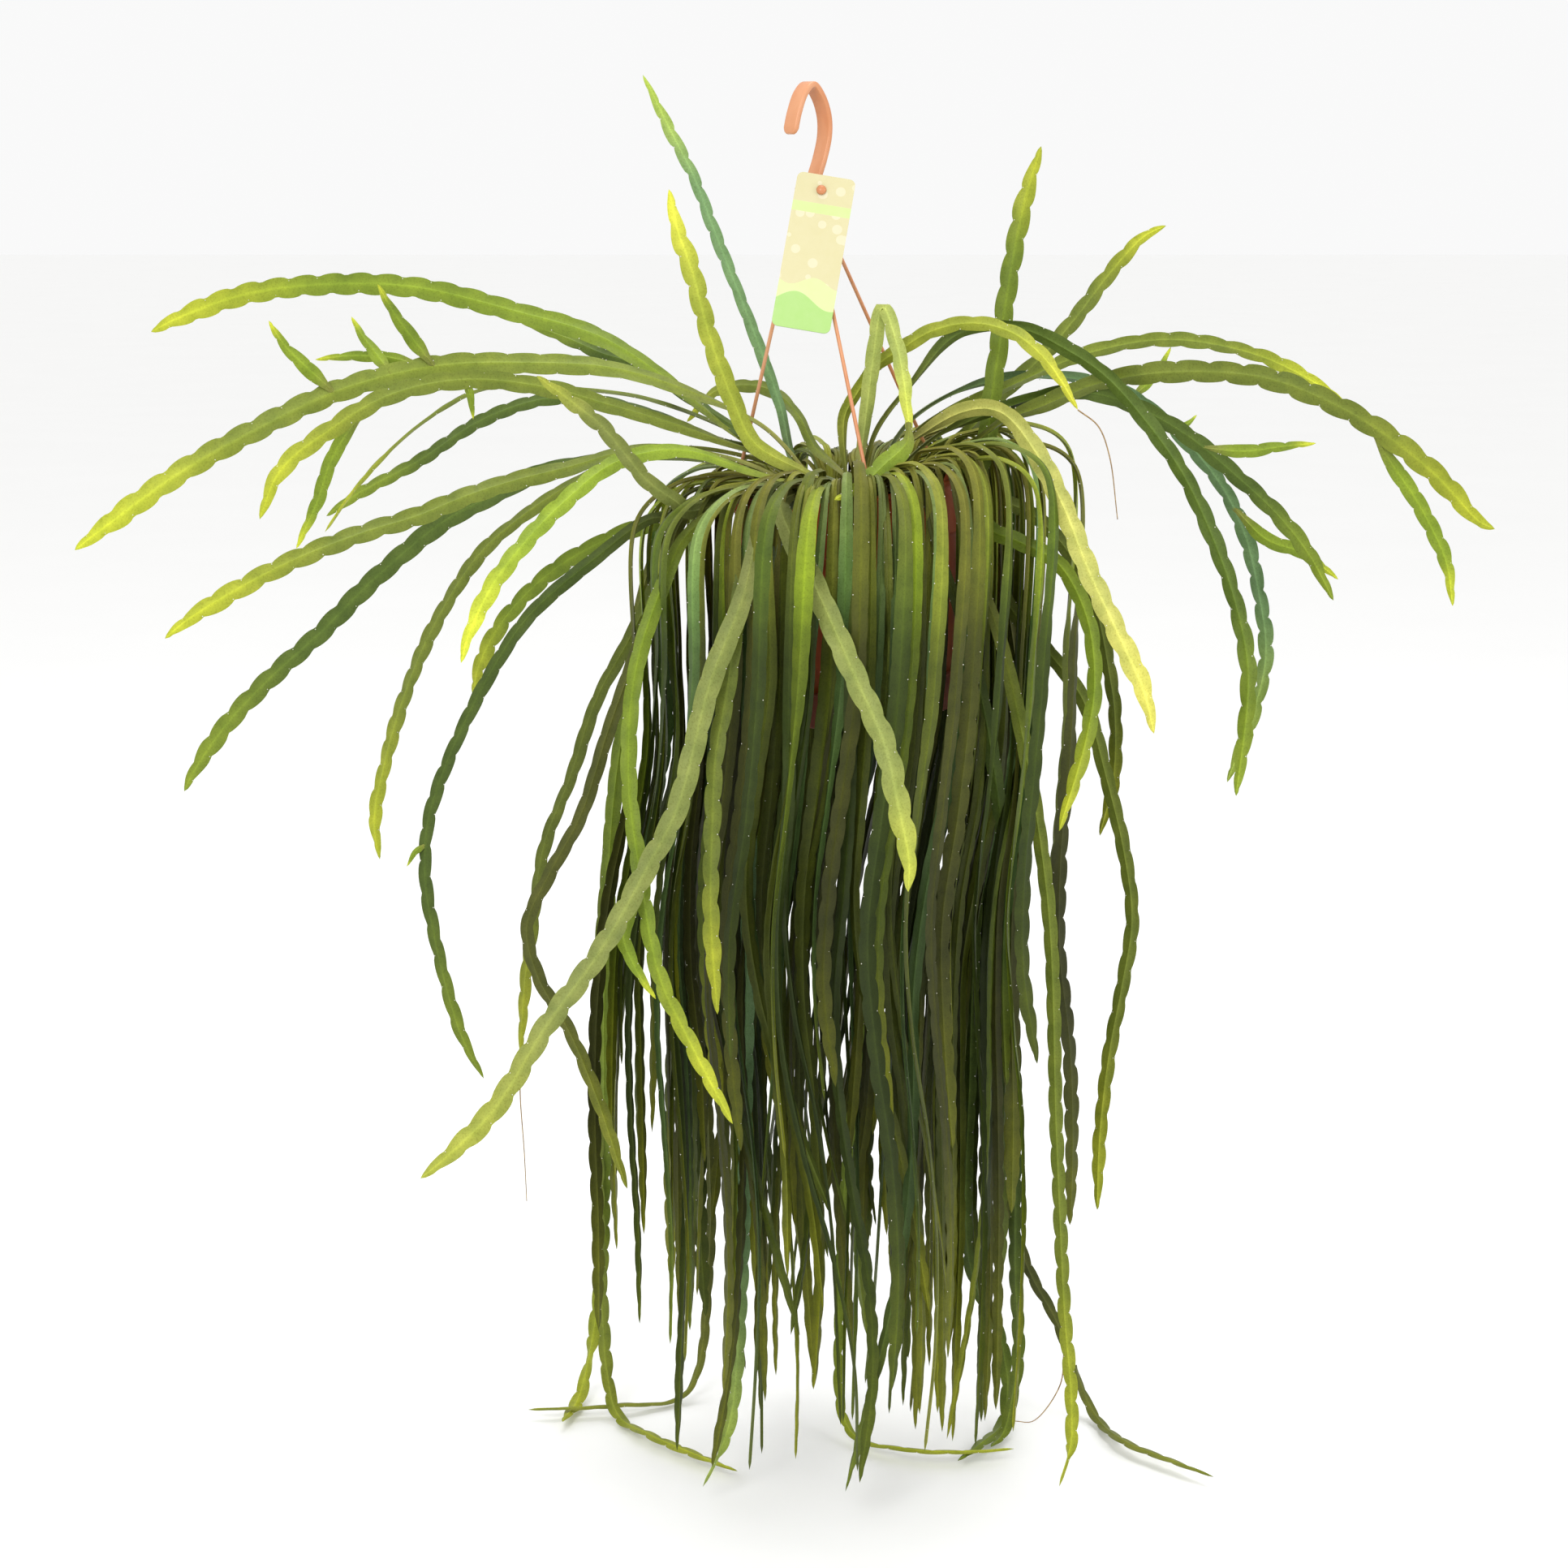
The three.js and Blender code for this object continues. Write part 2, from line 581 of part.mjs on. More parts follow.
// Stems that lie over the rim. Their picture points start just outside it, and the longest end on the floor.
const RIM_STEMS = {
  front_pale: {
    route: [[962, 622], [978, 665], [1017, 751], [1055, 837], [1090, 917], [1107, 992], [1120, 1062],
      [1119, 1099]],
    deep: [-97, -190], width: 13.5, turn: [20, 5],
  },
  front_cross: {
    route: [[938, 645], [916, 735], [875, 842], [835, 994], [798, 1068], [739, 1173], [674, 1263],
      [607, 1369], [550, 1426], [518, 1452]],
    deep: [-100, -215], width: 12.5, turn: [20, 5],
  },
  front_green: {
    route: [[846, 660], [819, 715], [783, 830], [775, 960], [787, 1063], [812, 1201], [851, 1286],
      [903, 1385]],
    deep: [-65, -205], width: 9.5, turn: [40, 10],
  },
  front_inner: {
    route: [[926, 668], [912, 735], [895, 855], [882, 930], [878, 1010], [876, 1130], [884, 1250]],
    deep: [-90, -175], width: 10, turn: [30, 15],
  },
  pale_left: {
    route: [[851, 630], [831, 617], [798, 593], [769, 558], [741, 525], [704, 495], [661, 463]],
    deep: [-50, -150], width: 9.5, turn: [60, 5],
  },
  edge_left: {
    route: [[842, 640], [824, 684], [778, 784], [737, 860], [704, 957], [671, 1044], [657, 1139], [649, 1197],
      [641, 1299]],
    deep: [14, 10], width: 9, turn: [70, 30],
  },
  knee_left: {
    route: [[838, 668], [812, 730], [786, 800], [750, 900], [716, 1005], [678, 1076], [650, 1140],
      [662, 1200], [703, 1273], [735, 1350], [773, 1465]],
    deep: [-38, -70], width: 8.5, turn: [70, 10],
  },
  short_left_low: {
    route: [[832, 634], [760, 660], [684, 702], [620, 766], [588, 831], [586, 867]],
    deep: [34, 80], width: 11, turn: [70, 20],
  },
  thread_left: {
    route: [[836, 636], [800, 640], [735, 687], [658, 753], [620, 804], [564, 910], [529, 1007], [524, 1076],
      [536, 1155], [568, 1273], [596, 1329]],
    deep: [-6, -60], width: 8.5, turn: [70, 20],
  },
  upright_right: {
    route: [[1194, 592], [1211, 566], [1218, 530], [1222, 490], [1231, 425], [1249, 312], [1264, 241],
      [1283, 180]],
    deep: [-12, -30], rises: true, width: 11.5, turn: [60, 5],
  },
  drop_right: {
    route: [[1215, 606], [1272, 634], [1313, 675], [1349, 744], [1367, 828], [1374, 879], [1372, 960],
      [1355, 1030]],
    deep: [40, 90], width: 9.5, turn: [70, 20],
  },
  green_drop_right: {
    route: [[1216, 648], [1257, 668], [1303, 693], [1339, 759], [1349, 841], [1339, 909], [1305, 1024]],
    deep: [-35, -95], width: 10, turn: [70, 20],
  },
  long_drop_right: {
    route: [[1196, 640], [1222, 700], [1250, 756], [1293, 805], [1334, 861], [1364, 960], [1386, 1054],
      [1395, 1134], [1383, 1214], [1367, 1298], [1355, 1402], [1352, 1491]],
    deep: [12, 20], width: 9.5, turn: [70, 20],
  },
  floor_left: {
    route: [[862, 640], [806, 740], [762, 940], [746, 1200], [744, 1440], [738, 1600]],
    floor: [[716, 1716], [693, 1752]], deep: [-52, 104], width: 10,
  },
  floor_left_turn: {
    route: [[836, 634], [800, 700], [768, 900], [740, 1180], [736, 1400], [742, 1600]],
    floor: [[758, 1738], [800, 1768], [855, 1792], [909, 1813]], deep: [50, 78], width: 9,
  },
  floor_front: {
    route: [[960, 664], [942, 780], [925, 1000], [920, 1300], [913, 1600], [901, 1745], [884, 1796],
      [866, 1832]],
    deep: [-98, -66], width: 9,
  },
  floor_back_left: {
    route: [[905, 620], [884, 720], [876, 1000], [872, 1300], [874, 1560]],
    floor: [[846, 1716], [760, 1732], [650, 1737]], deep: [90, 115], width: 7,
  },
  floor_right: {
    route: [[1214, 640], [1244, 760], [1262, 1000], [1240, 1260], [1222, 1404], [1266, 1560], [1303, 1630]],
    floor: [[1345, 1738], [1386, 1777], [1440, 1799], [1496, 1820]], deep: [30, 78], width: 8,
  },
  floor_right_front: {
    route: [[1188, 660], [1236, 800], [1290, 1100], [1302, 1400], [1312, 1620], [1320, 1720], [1319, 1784],
      [1305, 1832]],
    deep: [-62, -66], width: 9,
  },
  floor_right_inner: {
    route: [[1152, 664], [1196, 800], [1232, 1000], [1250, 1300], [1251, 1560], [1254, 1680]],
    floor: [[1238, 1762], [1221, 1783]], deep: [-84, 44], width: 9,
  },
  floor_right_hook: {
    route: [[1192, 624], [1198, 760], [1205, 1000], [1196, 1300], [1196, 1560], [1236, 1660]],
    floor: [[1238, 1746], [1208, 1780], [1180, 1800]], deep: [28, 66], width: 9,
  },
  floor_middle: {
    route: [[1094, 668], [1090, 900], [1056, 1300], [1034, 1600]],
    floor: [[1046, 1762], [1116, 1786], [1193, 1789], [1250, 1785]], deep: [-104, 44], width: 7,
  },
};

// Side shoots: a picture point on the stem that carries each, then its own points, and its depth's change.
const SHOOTS = [
  {
    on: "long_left", from: [412, 480], route: [[380, 455], [350, 425], [331, 395]],
    deeper: -20, width: 9,
  },
  {
    on: "long_left", from: [534, 449], route: [[510, 420], [485, 385], [465, 350]],
    deeper: -15, width: 9,
  },
  {
    on: "long_left", from: [482, 462], route: [[462, 435], [445, 412], [433, 390]],
    deeper: 20, width: 8.5,
  },
  {
    on: "long_left", from: [525, 453], route: [[480, 441], [430, 439], [388, 443]],
    deeper: 30, width: 7,
  },
  {
    on: "mid_left", from: [576, 469], route: [[580, 490], [583, 517]],
    deeper: 8, width: 7.5,
  },
  {
    on: "mid_left", from: [452, 504], route: [[420, 545], [404, 577], [392, 616], [365, 676]],
    deeper: 30, width: 8,
  },
  {
    on: "thread_left", from: [525, 1040], route: [[512, 1050], [501, 1068]],
    deeper: -6, width: 7,
  },
  {
    on: "folded", from: [1118, 520], route: [[1118, 545], [1090, 573], [1060, 600], [1028, 616]],
    deeper: -55, width: 12,
  },
  {
    on: "green_right", from: [1484, 552], route: [[1534, 556], [1580, 550], [1622, 546]],
    deeper: -10, width: 8,
  },
  {
    on: "green_right", from: [1446, 526], route: [[1460, 524], [1475, 511]],
    deeper: 8, width: 7,
  },
  {
    on: "pale_arch_right", from: [1396, 488], route: [[1412, 474], [1430, 452], [1443, 427]],
    deeper: 12, width: 7,
  },
  {
    on: "pale_arch_right", from: [1520, 624], route: [[1560, 664], [1607, 682], [1649, 714]],
    deeper: -15, width: 9,
  },
  {
    on: "long_right", from: [1690, 524], route: [[1709, 562], [1749, 623], [1782, 693], [1790, 747]],
    deeper: 10, width: 9.5,
  },
  {
    on: "front_green", from: [778, 1100], route: [[768, 1150], [782, 1190], [808, 1231]],
    deeper: -14, width: 8.5,
  },
];

// Shares of the route's length, in the picture, at which its points lie.
function shares(route) {
  const sums = [0];
  for (let i = 1; i < route.length; i++) {
    const gap = Math.hypot(route[i][0] - route[i - 1][0], route[i][1] - route[i - 1][1]);
    sums.push(sums[i - 1] + gap);
  }
  return sums.map((sum) => sum / sums[sums.length - 1]);
}

// The flat side starts turned by turn[0] degrees from the viewer and ends turned by turn[1].
// Over the rim a stem's flat side is up, and near the floor it lies flat.
function facing(turn, side = 0) {
  return (u, at, along) => {
    const view = at.clone().sub(eye).normalize();
    if (side) view.multiplyScalar(side).lerp(vec(0, 0, -1), smooth(-u, -0.15, -0.03));
    const across = along.clone().cross(view);
    if (across.lengthSq() < 1e-4) across.set(1, 0, 0);
    const start = side ? 0 : turn[0];
    across.applyAxisAngle(along, radians(mix(start, turn[1], smooth(u, 0.05, 0.6))));
    const lying = vec(-along.y, along.x, 0);
    if (lying.dot(across) < 0) lying.negate();
    return across.lerp(lying, smooth(FLOOR - at.z, -2 * LYING_HEIGHT, -LYING_HEIGHT));
  };
}

// Stocks of the stems that show stand in the middle of the soil, spread as the seeds of a sunflower are.
const GOLDEN_ANGLE = 137.508;
const crownStocks = Array.from({ length: CROWN_STOCKS }, (_, i) => {
  const [x, y] = around(CROWN_RADIUS * Math.sqrt((i + 0.5) / CROWN_STOCKS), i * GOLDEN_ANGLE);
  return { x, y, radius: HERO_STOCK_RADIUS };
});

// The free stock that stands nearest to the way the stem leaves the crown.
function nearestStock(way) {
  const wanted = way.clone().applyMatrix4(hung.matrixWorld.clone().invert());
  const miss = ({ x, y }) => Math.hypot(x - CROWN_PULL * wanted.x, y - CROWN_PULL * wanted.y);
  const free = crownStocks.filter((stock) => !stock.taken);
  const best = free.reduce((a, b) => (miss(b) < miss(a) ? b : a));
  best.taken = true;
  return best;
}

const tagMatrix = new THREE.Matrix4().makeRotationFromEuler(tagTurn).setPosition(tagHole);
const fixed = [
  potSolid().transform(hung.matrixWorld.elements),
  saucerSolid().transform(hung.matrixWorld.elements),
  hangerSolid(),
  solidOf(tagSolid(), tagMatrix),
];
const grown = [];

const apart = (a, b) => [0, 1, 2].some((axis) => a.min[axis] > b.max[axis] || b.min[axis] > a.max[axis]);

function meets(solid, others) {
  const box = solid.boundingBox();
  return others.some((other) => !apart(box, other.boundingBox()) && solid.intersect(other).volume() > 0);
}

// Grows a stem by the first of its tries that stays clear of all that stands there. Stems of one stock meet
// at their bases, and further out only where no try keeps them apart.
function grow(name, stock, tries, { parent = null, mustStand = false }) {
  const mates = grown.filter((stem) => stem.stock === stock && stem !== parent).map((stem) => stem.outer);
  const rivals = grown.filter((stem) => stem.stock !== stock).map((stem) => stem.solid);
  const first = parent ? 1 : FREE_ROWS;
  const standing = tries.filter((plan) => {
    return !dips(plan) && !meets(stemSolid({ ...plan, grow: 2 * CLEARANCE }), [...fixed, ...rivals]);
  });
  const free = standing.find((plan) => !meets(stemSolid({ ...plan, first }), mates));
  const plan = free || standing[0] || (mustStand ? tries[0] : null);
  if (!plan) return null;
  const stem = { name, stock, plan, solid: stemSolid(plan), outer: stemSolid({ ...plan, first }) };
  grown.push(stem);
  return stem;
}

// Whether a stem runs into the soil once it has left its stock.
function dips({ path }) {
  const curve = new THREE.CatmullRomCurve3(path, false, "centripetal");
  const length = curve.getLength();
  const inverse = hung.matrixWorld.clone().invert();
  for (let along = 8; along < Math.min(length, 110); along += 4) {
    const at = curve.getPointAt(along / length).applyMatrix4(inverse);
    if (Math.hypot(at.x, at.y) < RIM_RADIUS + 2 && at.z < SOIL + STEM_CLEARANCE) return true;
  }
  return false;
}

// Depth changes that a stem tries in turn, and the heights above its stock at which it leans over.
const SHIFTS = [0, 1, -1, 2, -2, 3, -3, 4, -4, 5, -5];
const RISES = [9, 14, 5];
const RIM_LIFTS = [6, 10, 14];

for (const [name, stem] of Object.entries(SHOWN_STEMS)) {
  const [start, end] = stem.deep;
  const crown = stem.route.slice(1);
  const partner = grown.find((other) => other.name === stem.beside);
  const stock = partner ? partner.stock : nearestStock(seenAt(crown[0], start));
  const tries = RISES.flatMap((height) => SHIFTS.map((shift) => {
    const placed = shares(crown).map((share, i) => {
      return seenAt(crown[i], mix(start + 5 * shift, end + 14 * shift, smooth(share, -0.02, 1.1)));
    });
    const rise = stockTop(stock, height).lerp(placed[0], 0.12);
    return {
      path: [stockTop(stock, -1.5), stockTop(stock, 0).lerp(rise, 0.4), rise, ...placed],
      step: stem.step || ARCH_STEP, growth: stem.step ? 0 : ARCH_GROWTH, width: stem.width, base: 4,
      faceAt: facing(stem.turn),
    };
  }));
  grow(name, stock, tries, { mustStand: true });
}

// The curtain: clumps stand in a ring, each in a sector of its own. Their stems hang over the rim all round.

const plumbX = (z) => mix(soilCentre.x - 16, soilCentre.x, smooth(z, -560, -410));
const swirl = (z) => 5 * Math.sin((z + 300) / 95) * smooth(-z, 300, 420);
const spread = (z) => 0.72 * smooth(-z, 420, 680);

// A point at a height above the tilted rim, round the pot's middle.
function overRim(radius, azimuth, height) {
  const [x, y] = around(radius, azimuth);
  const level = fromHung(0, 0, RIM).z + Math.tan(radians(HANG_TILT)) * x;
  return vec(soilCentre.x + x, y, level + height);
}

// A point of a hanging stem. Below the pot the inner stems close in and the outer ones stand off.
function hanging(radius, azimuth, z) {
  const reach = radius + (radius - 118) * spread(z);
  const [x, y] = around(reach, azimuth + swirl(z));
  return vec(plumbX(z) + x, y, z);
}

const sector = 360 / CLUMPS;
const hangStart = -292;

function curtainPlan(stock, slot, ring, draws) {
  const [tipDraw, waveDraw, twistDraw, widthDraw, lift] = draws;
  const radius = mix(INNER_HANG, OUTER_HANG, ring);
  const tip = -590 - 310 * Math.pow(tipDraw, 0.8);
  const wave = 1.6 * (waveDraw - 0.5);
  const twist = 150 * (twistDraw - 0.5);
  const path = [stockTop(stock, -1.5), overRim(66, slot, 5 + lift), overRim(79, slot, 8 + lift)];
  path.push(overRim(mix(79, radius, 0.55), slot, 5 + 4 * ring + lift));
  path.push(overRim(radius - 2, slot, -10 + lift));
  const steps = Math.round((hangStart - tip) / 70);
  for (let i = 1; i <= steps; i++) {
    path.push(hanging(radius, slot + wave * Math.sin(i * 1.3 + 5 * ring), mix(hangStart, tip, i / steps)));
  }
  const faceAt = (u, at, along) => {
    const tangent = vec(-at.y, at.x - soilCentre.x, 0).normalize();
    const across = tangent.addScaledVector(along, -tangent.dot(along)).normalize();
    return across.applyAxisAngle(along, radians(twist * smooth(u, 0.22, 0.6)));
  };
  const width = mix(8.5, 12, widthDraw);
  return { path, step: CURTAIN_STEP, growth: CURTAIN_GROWTH, width, base: 4.2, faceAt };
}

const clumpStocks = Array.from({ length: CLUMPS }, (_, k) => {
  const [x, y] = around(k % 2 ? 58 : 47, STRAND_AZIMUTHS[0] + (k + 0.5) * sector);
  return { x, y, radius: CLUMP_STOCK_RADIUS };
});
const clumpName = (k) => "curtain_" + String(k + 1).padStart(2, "0");

for (const [name, stem] of Object.entries(RIM_STEMS)) {
  const [start, end] = stem.deep;
  const first = seenAt(stem.route[0], start);
  const azimuth = THREE.MathUtils.radToDeg(Math.atan2(first.x - soilCentre.x, -first.y));
  const clump = Math.floor(THREE.MathUtils.euclideanModulo(azimuth - STRAND_AZIMUTHS[0], 360) / sector);
  const stock = clumpStocks[clump];
  const side = Math.cos(radians(azimuth)) < 0 ? -1 : 1;
  const tries = RIM_LIFTS.flatMap((lift) => SHIFTS.map((shift) => {
    const depths = shares(stem.route).map((share) => mix(start, end + 12 * shift, share));
    const placed = stem.route.map((pixel, i) => seenAt(pixel, depths[i]));
    for (const pixel of stem.floor || []) placed.push(seenOnFloor(pixel, 2 + Math.abs(shift)));
    const over = azimuth + 0.8 * shift;
    if (!stem.rises) placed.unshift(overRim(80, over, lift + 3));
    return {
      path: [stockTop(stock, -1.5), overRim(66, over, lift), ...placed], step: stem.floor ? FLOOR_STEP : RIM_STEP,
      growth: ARCH_GROWTH, width: stem.width, base: 4, faceAt: facing(stem.turn || [70, 20], side),
    };
  }));
  grow(clumpName(clump), stock, tries, { mustStand: true }).shown = name;
}

for (const shoot of SHOOTS) {
  const parent = grown.find((stem) => stem.shown === shoot.on || stem.name === shoot.on);
  const curve = new THREE.CatmullRomCurve3(parent.plan.path, false, "centripetal");
  const aim = sight(shoot.from).normalize();
  const near = curve.getPoints(300).reduce((best, point) => {
    const miss = point.clone().sub(eye).cross(aim).length();
    return miss < best.miss ? { point, miss } : best;
  }, { miss: Infinity });
  const tries = SHIFTS.map((shift) => {
    const placed = shares([shoot.from, ...shoot.route]).slice(1).map((share, i) =>
      seenAt(shoot.route[i], near.point.y + share * (shoot.deeper + 8 * shift)),
    );
    return {
      path: [near.point, ...placed], step: SHOOT_STEP, growth: 0, width: shoot.width, base: 3.5,
      faceAt: facing([10, 10]),
    };
  });
  grow(parent.name, parent.stock, tries, { parent });
}

for (let k = 0; k < CLUMPS; k++) {
  for (let j = 0; j < STEMS_PER_CLUMP; j++) {
    const slot = STRAND_AZIMUTHS[0] + sector * (k + 0.5 + 0.2 * (j - (STEMS_PER_CLUMP - 1) / 2));
    const ring = (2 * j + 3 * k) % STEMS_PER_CLUMP;
    const tries = [];
    for (let t = 0; t < CURTAIN_TRIES; t++) {
      const lift = CLUMP_LIFT * ((2 * j) % STEMS_PER_CLUMP) + 1.5 * t;
      const draws = [chance(), chance(), chance(), chance(), lift];
      const shift = sector * 0.05 * (chance() - 0.5) * t;
      const share = (((ring + t) % STEMS_PER_CLUMP) + chance()) / STEMS_PER_CLUMP;
      tries.push(curtainPlan(clumpStocks[k], slot + shift, share, draws));
    }
    grow(clumpName(k), clumpStocks[k], tries, {});
  }
}

// Stems that share a stock or meet are one piece, named after the first of them.

function fusedPieces() {
  const items = grown.map(({ name, solid, stock }, i) => ({ name, solid, stock, group: i }));
  for (const stock of new Set(grown.map((stem) => stem.stock))) {
    const owner = items.find((item) => item.stock === stock);
    items.push({ name: owner.name, solid: stockSolid(stock), stock, group: items.length });
  }
  const groupOf = (i) => (items[i].group === i ? i : groupOf(items[i].group));
  const boxes = items.map(({ solid }) => solid.boundingBox());
  for (let i = 0; i < items.length; i++) {
    for (let j = i + 1; j < items.length; j++) {
      const [low, high] = [groupOf(i), groupOf(j)].sort((a, b) => a - b);
      if (low === high || apart(boxes[i], boxes[j])) continue;
      const shared = items[i].stock === items[j].stock;
      if (shared || items[i].solid.intersect(items[j].solid).volume() > 0) items[high].group = low;
    }
  }
  const groups = new Map();
  items.forEach((item, i) => {
    const top = groupOf(i);
    groups.set(top, [...(groups.get(top) || []), item.solid]);
  });
  // What little hollow the crossing stems enclose is filled.
  return [...groups].map(([top, parts]) => {
    const bodies = join(parts).decompose();
    const solid = bodies.reduce((a, b) => (b.volume() > a.volume() ? b : a));
    return { name: items[top].name, solid };
  });
}

// The assembled plant.

const plant = new THREE.Group();
plant.name = "potted_lepismium_bolivianum";
plant.add(hung);

function finish(colour, roughness) {
  return new THREE.MeshStandardMaterial({ color: colour, roughness, metalness: 0 });
}

function add(parent, name, geometry, material) {
  const mesh = new THREE.Mesh(geometry, material);
  mesh.name = name;
  parent.add(mesh);
  return mesh;
}

const terracotta = finish(0xb5522a, 0.5);
const stocks = [...new Set(grown.map((stem) => stem.stock))];
add(hung, "pot", geometryOf(potSolid()), terracotta);
add(hung, "saucer", geometryOf(saucerSolid()), finish(0x8a3d20, 0.5));
add(hung, "soil", geometryOf(soilSolid(stocks)), finish(0x2e2119, 1));
add(plant, "hanger", geometryOf(hangerSolid()), finish(0xdf8d5b, 0.4));
const tag = add(plant, "tag", tagSolid(), finish(0xf6f5c8, 0.55));
tag.position.copy(tagHole);
tag.rotation.copy(tagTurn);

for (const { name, solid } of fusedPieces()) add(plant, name, geometryOf(solid), finish(0x5f7a33, 0.55));

export default plant;
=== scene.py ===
# %% [markdown]
# # A potted lepismium bolivianum
# This is a trailing cactus in a hanging plastic pot. The pot, its saucer and the hanger are moulded plastic. The
# plant is more than a hundred flat, notched stems: a few stand up, some arch far out to both sides, and most hang
# over the rim as a dense curtain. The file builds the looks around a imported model, in metres, with X to the
# right, Y away from the viewer and Z up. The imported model's solids stay hidden behind the finer pieces made here.

import math

import bpy
import numpy as np
from mathutils.kdtree import KDTree
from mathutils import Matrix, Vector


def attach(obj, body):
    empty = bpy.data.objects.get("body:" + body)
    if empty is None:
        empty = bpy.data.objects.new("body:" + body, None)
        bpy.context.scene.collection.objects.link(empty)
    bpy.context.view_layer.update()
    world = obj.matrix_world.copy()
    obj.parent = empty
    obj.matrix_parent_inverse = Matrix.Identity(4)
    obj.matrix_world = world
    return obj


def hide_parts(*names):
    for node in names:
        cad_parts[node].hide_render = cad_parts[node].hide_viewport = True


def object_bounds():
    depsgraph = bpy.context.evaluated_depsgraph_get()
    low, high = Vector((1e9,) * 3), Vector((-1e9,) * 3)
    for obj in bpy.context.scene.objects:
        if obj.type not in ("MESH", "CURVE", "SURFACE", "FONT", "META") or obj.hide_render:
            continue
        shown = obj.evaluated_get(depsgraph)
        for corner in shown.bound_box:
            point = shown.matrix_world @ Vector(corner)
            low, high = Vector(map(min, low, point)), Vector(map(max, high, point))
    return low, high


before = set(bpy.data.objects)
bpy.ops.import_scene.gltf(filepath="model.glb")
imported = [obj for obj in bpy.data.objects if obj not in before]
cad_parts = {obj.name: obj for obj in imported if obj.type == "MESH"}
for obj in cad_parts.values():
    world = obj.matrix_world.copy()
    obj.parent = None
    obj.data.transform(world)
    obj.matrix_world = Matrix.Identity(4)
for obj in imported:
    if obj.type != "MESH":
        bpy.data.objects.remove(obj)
solid_low, solid_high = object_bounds()
print("packed nodes:", len(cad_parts), "from", solid_low[:], "to", solid_high[:])

# %% [markdown]
# ## The camera
# The picture is square, 1932 points on a side, and it was taken from slightly above. The eye is 1.9 m from the
# hook and looks down by 12 degrees. The same numbers serve to place stems along the eye's lines of sight, so they
# are kept in millimetres, the unit in which the plant was measured.

# %% Place the camera
PICTURE = 1932
PICTURE_CENTRE = PICTURE / 2
HOOK_PIXEL = (997, 108)
MM_PER_PIXEL = 0.536
VIEW_DISTANCE = 1900
LOOK_DOWN = math.radians(12)
FOCAL = VIEW_DISTANCE / MM_PER_PIXEL
SENSOR = 36
MM = 0.001


def sight(pixel):
    """The direction, in millimetres, in which the eye sees a point of the picture."""
    across, down = pixel
    below = down - PICTURE_CENTRE
    return np.array([
        across - PICTURE_CENTRE,
        FOCAL * math.cos(LOOK_DOWN) - below * math.sin(LOOK_DOWN),
        -FOCAL * math.sin(LOOK_DOWN) - below * math.cos(LOOK_DOWN),
    ])


to_hook = sight(HOOK_PIXEL)
eye = to_hook * (-VIEW_DISTANCE * math.cos(LOOK_DOWN) / to_hook[1])

camera_data = bpy.data.cameras.new("camera")
camera_data.sensor_width = SENSOR
camera_data.lens = FOCAL / PICTURE * SENSOR
camera_data.clip_end = 100
camera = bpy.data.objects.new("camera", camera_data)
camera.location = eye * MM
camera.rotation_euler = (math.pi / 2 - LOOK_DOWN, 0, 0)
bpy.context.scene.collection.objects.link(camera)
bpy.context.scene.camera = camera
print("eye at", eye, "mm, lens", round(camera_data.lens, 2), "mm")

# %% [markdown]
# ## Shader maths in plain Python
# A material is a small network of nodes. Writing it with operators keeps it readable: `Value` wraps one socket,
# and an expression such as `1 - mask * 0.5` adds the Math nodes. `Finish` is one material, and its `node` method
# adds any other kind of node: the settings go in first, then the values or links of the sockets.

# %% Values and finishes


class Value:
    """A socket of a finish that Python's operators work on."""

    def __init__(self, finish, socket):
        self.finish = finish
        self.socket = socket

    def maths(self, operation, first, second):
        return self.finish.maths(operation, first, second)

    def __add__(self, other):
        return self.maths("ADD", self, other)

    def __sub__(self, other):
        return self.maths("SUBTRACT", self, other)

    def __mul__(self, other):
        return self.maths("MULTIPLY", self, other)

    def __rsub__(self, other):
        return self.maths("SUBTRACT", other, self)

    __radd__ = __add__
    __rmul__ = __mul__


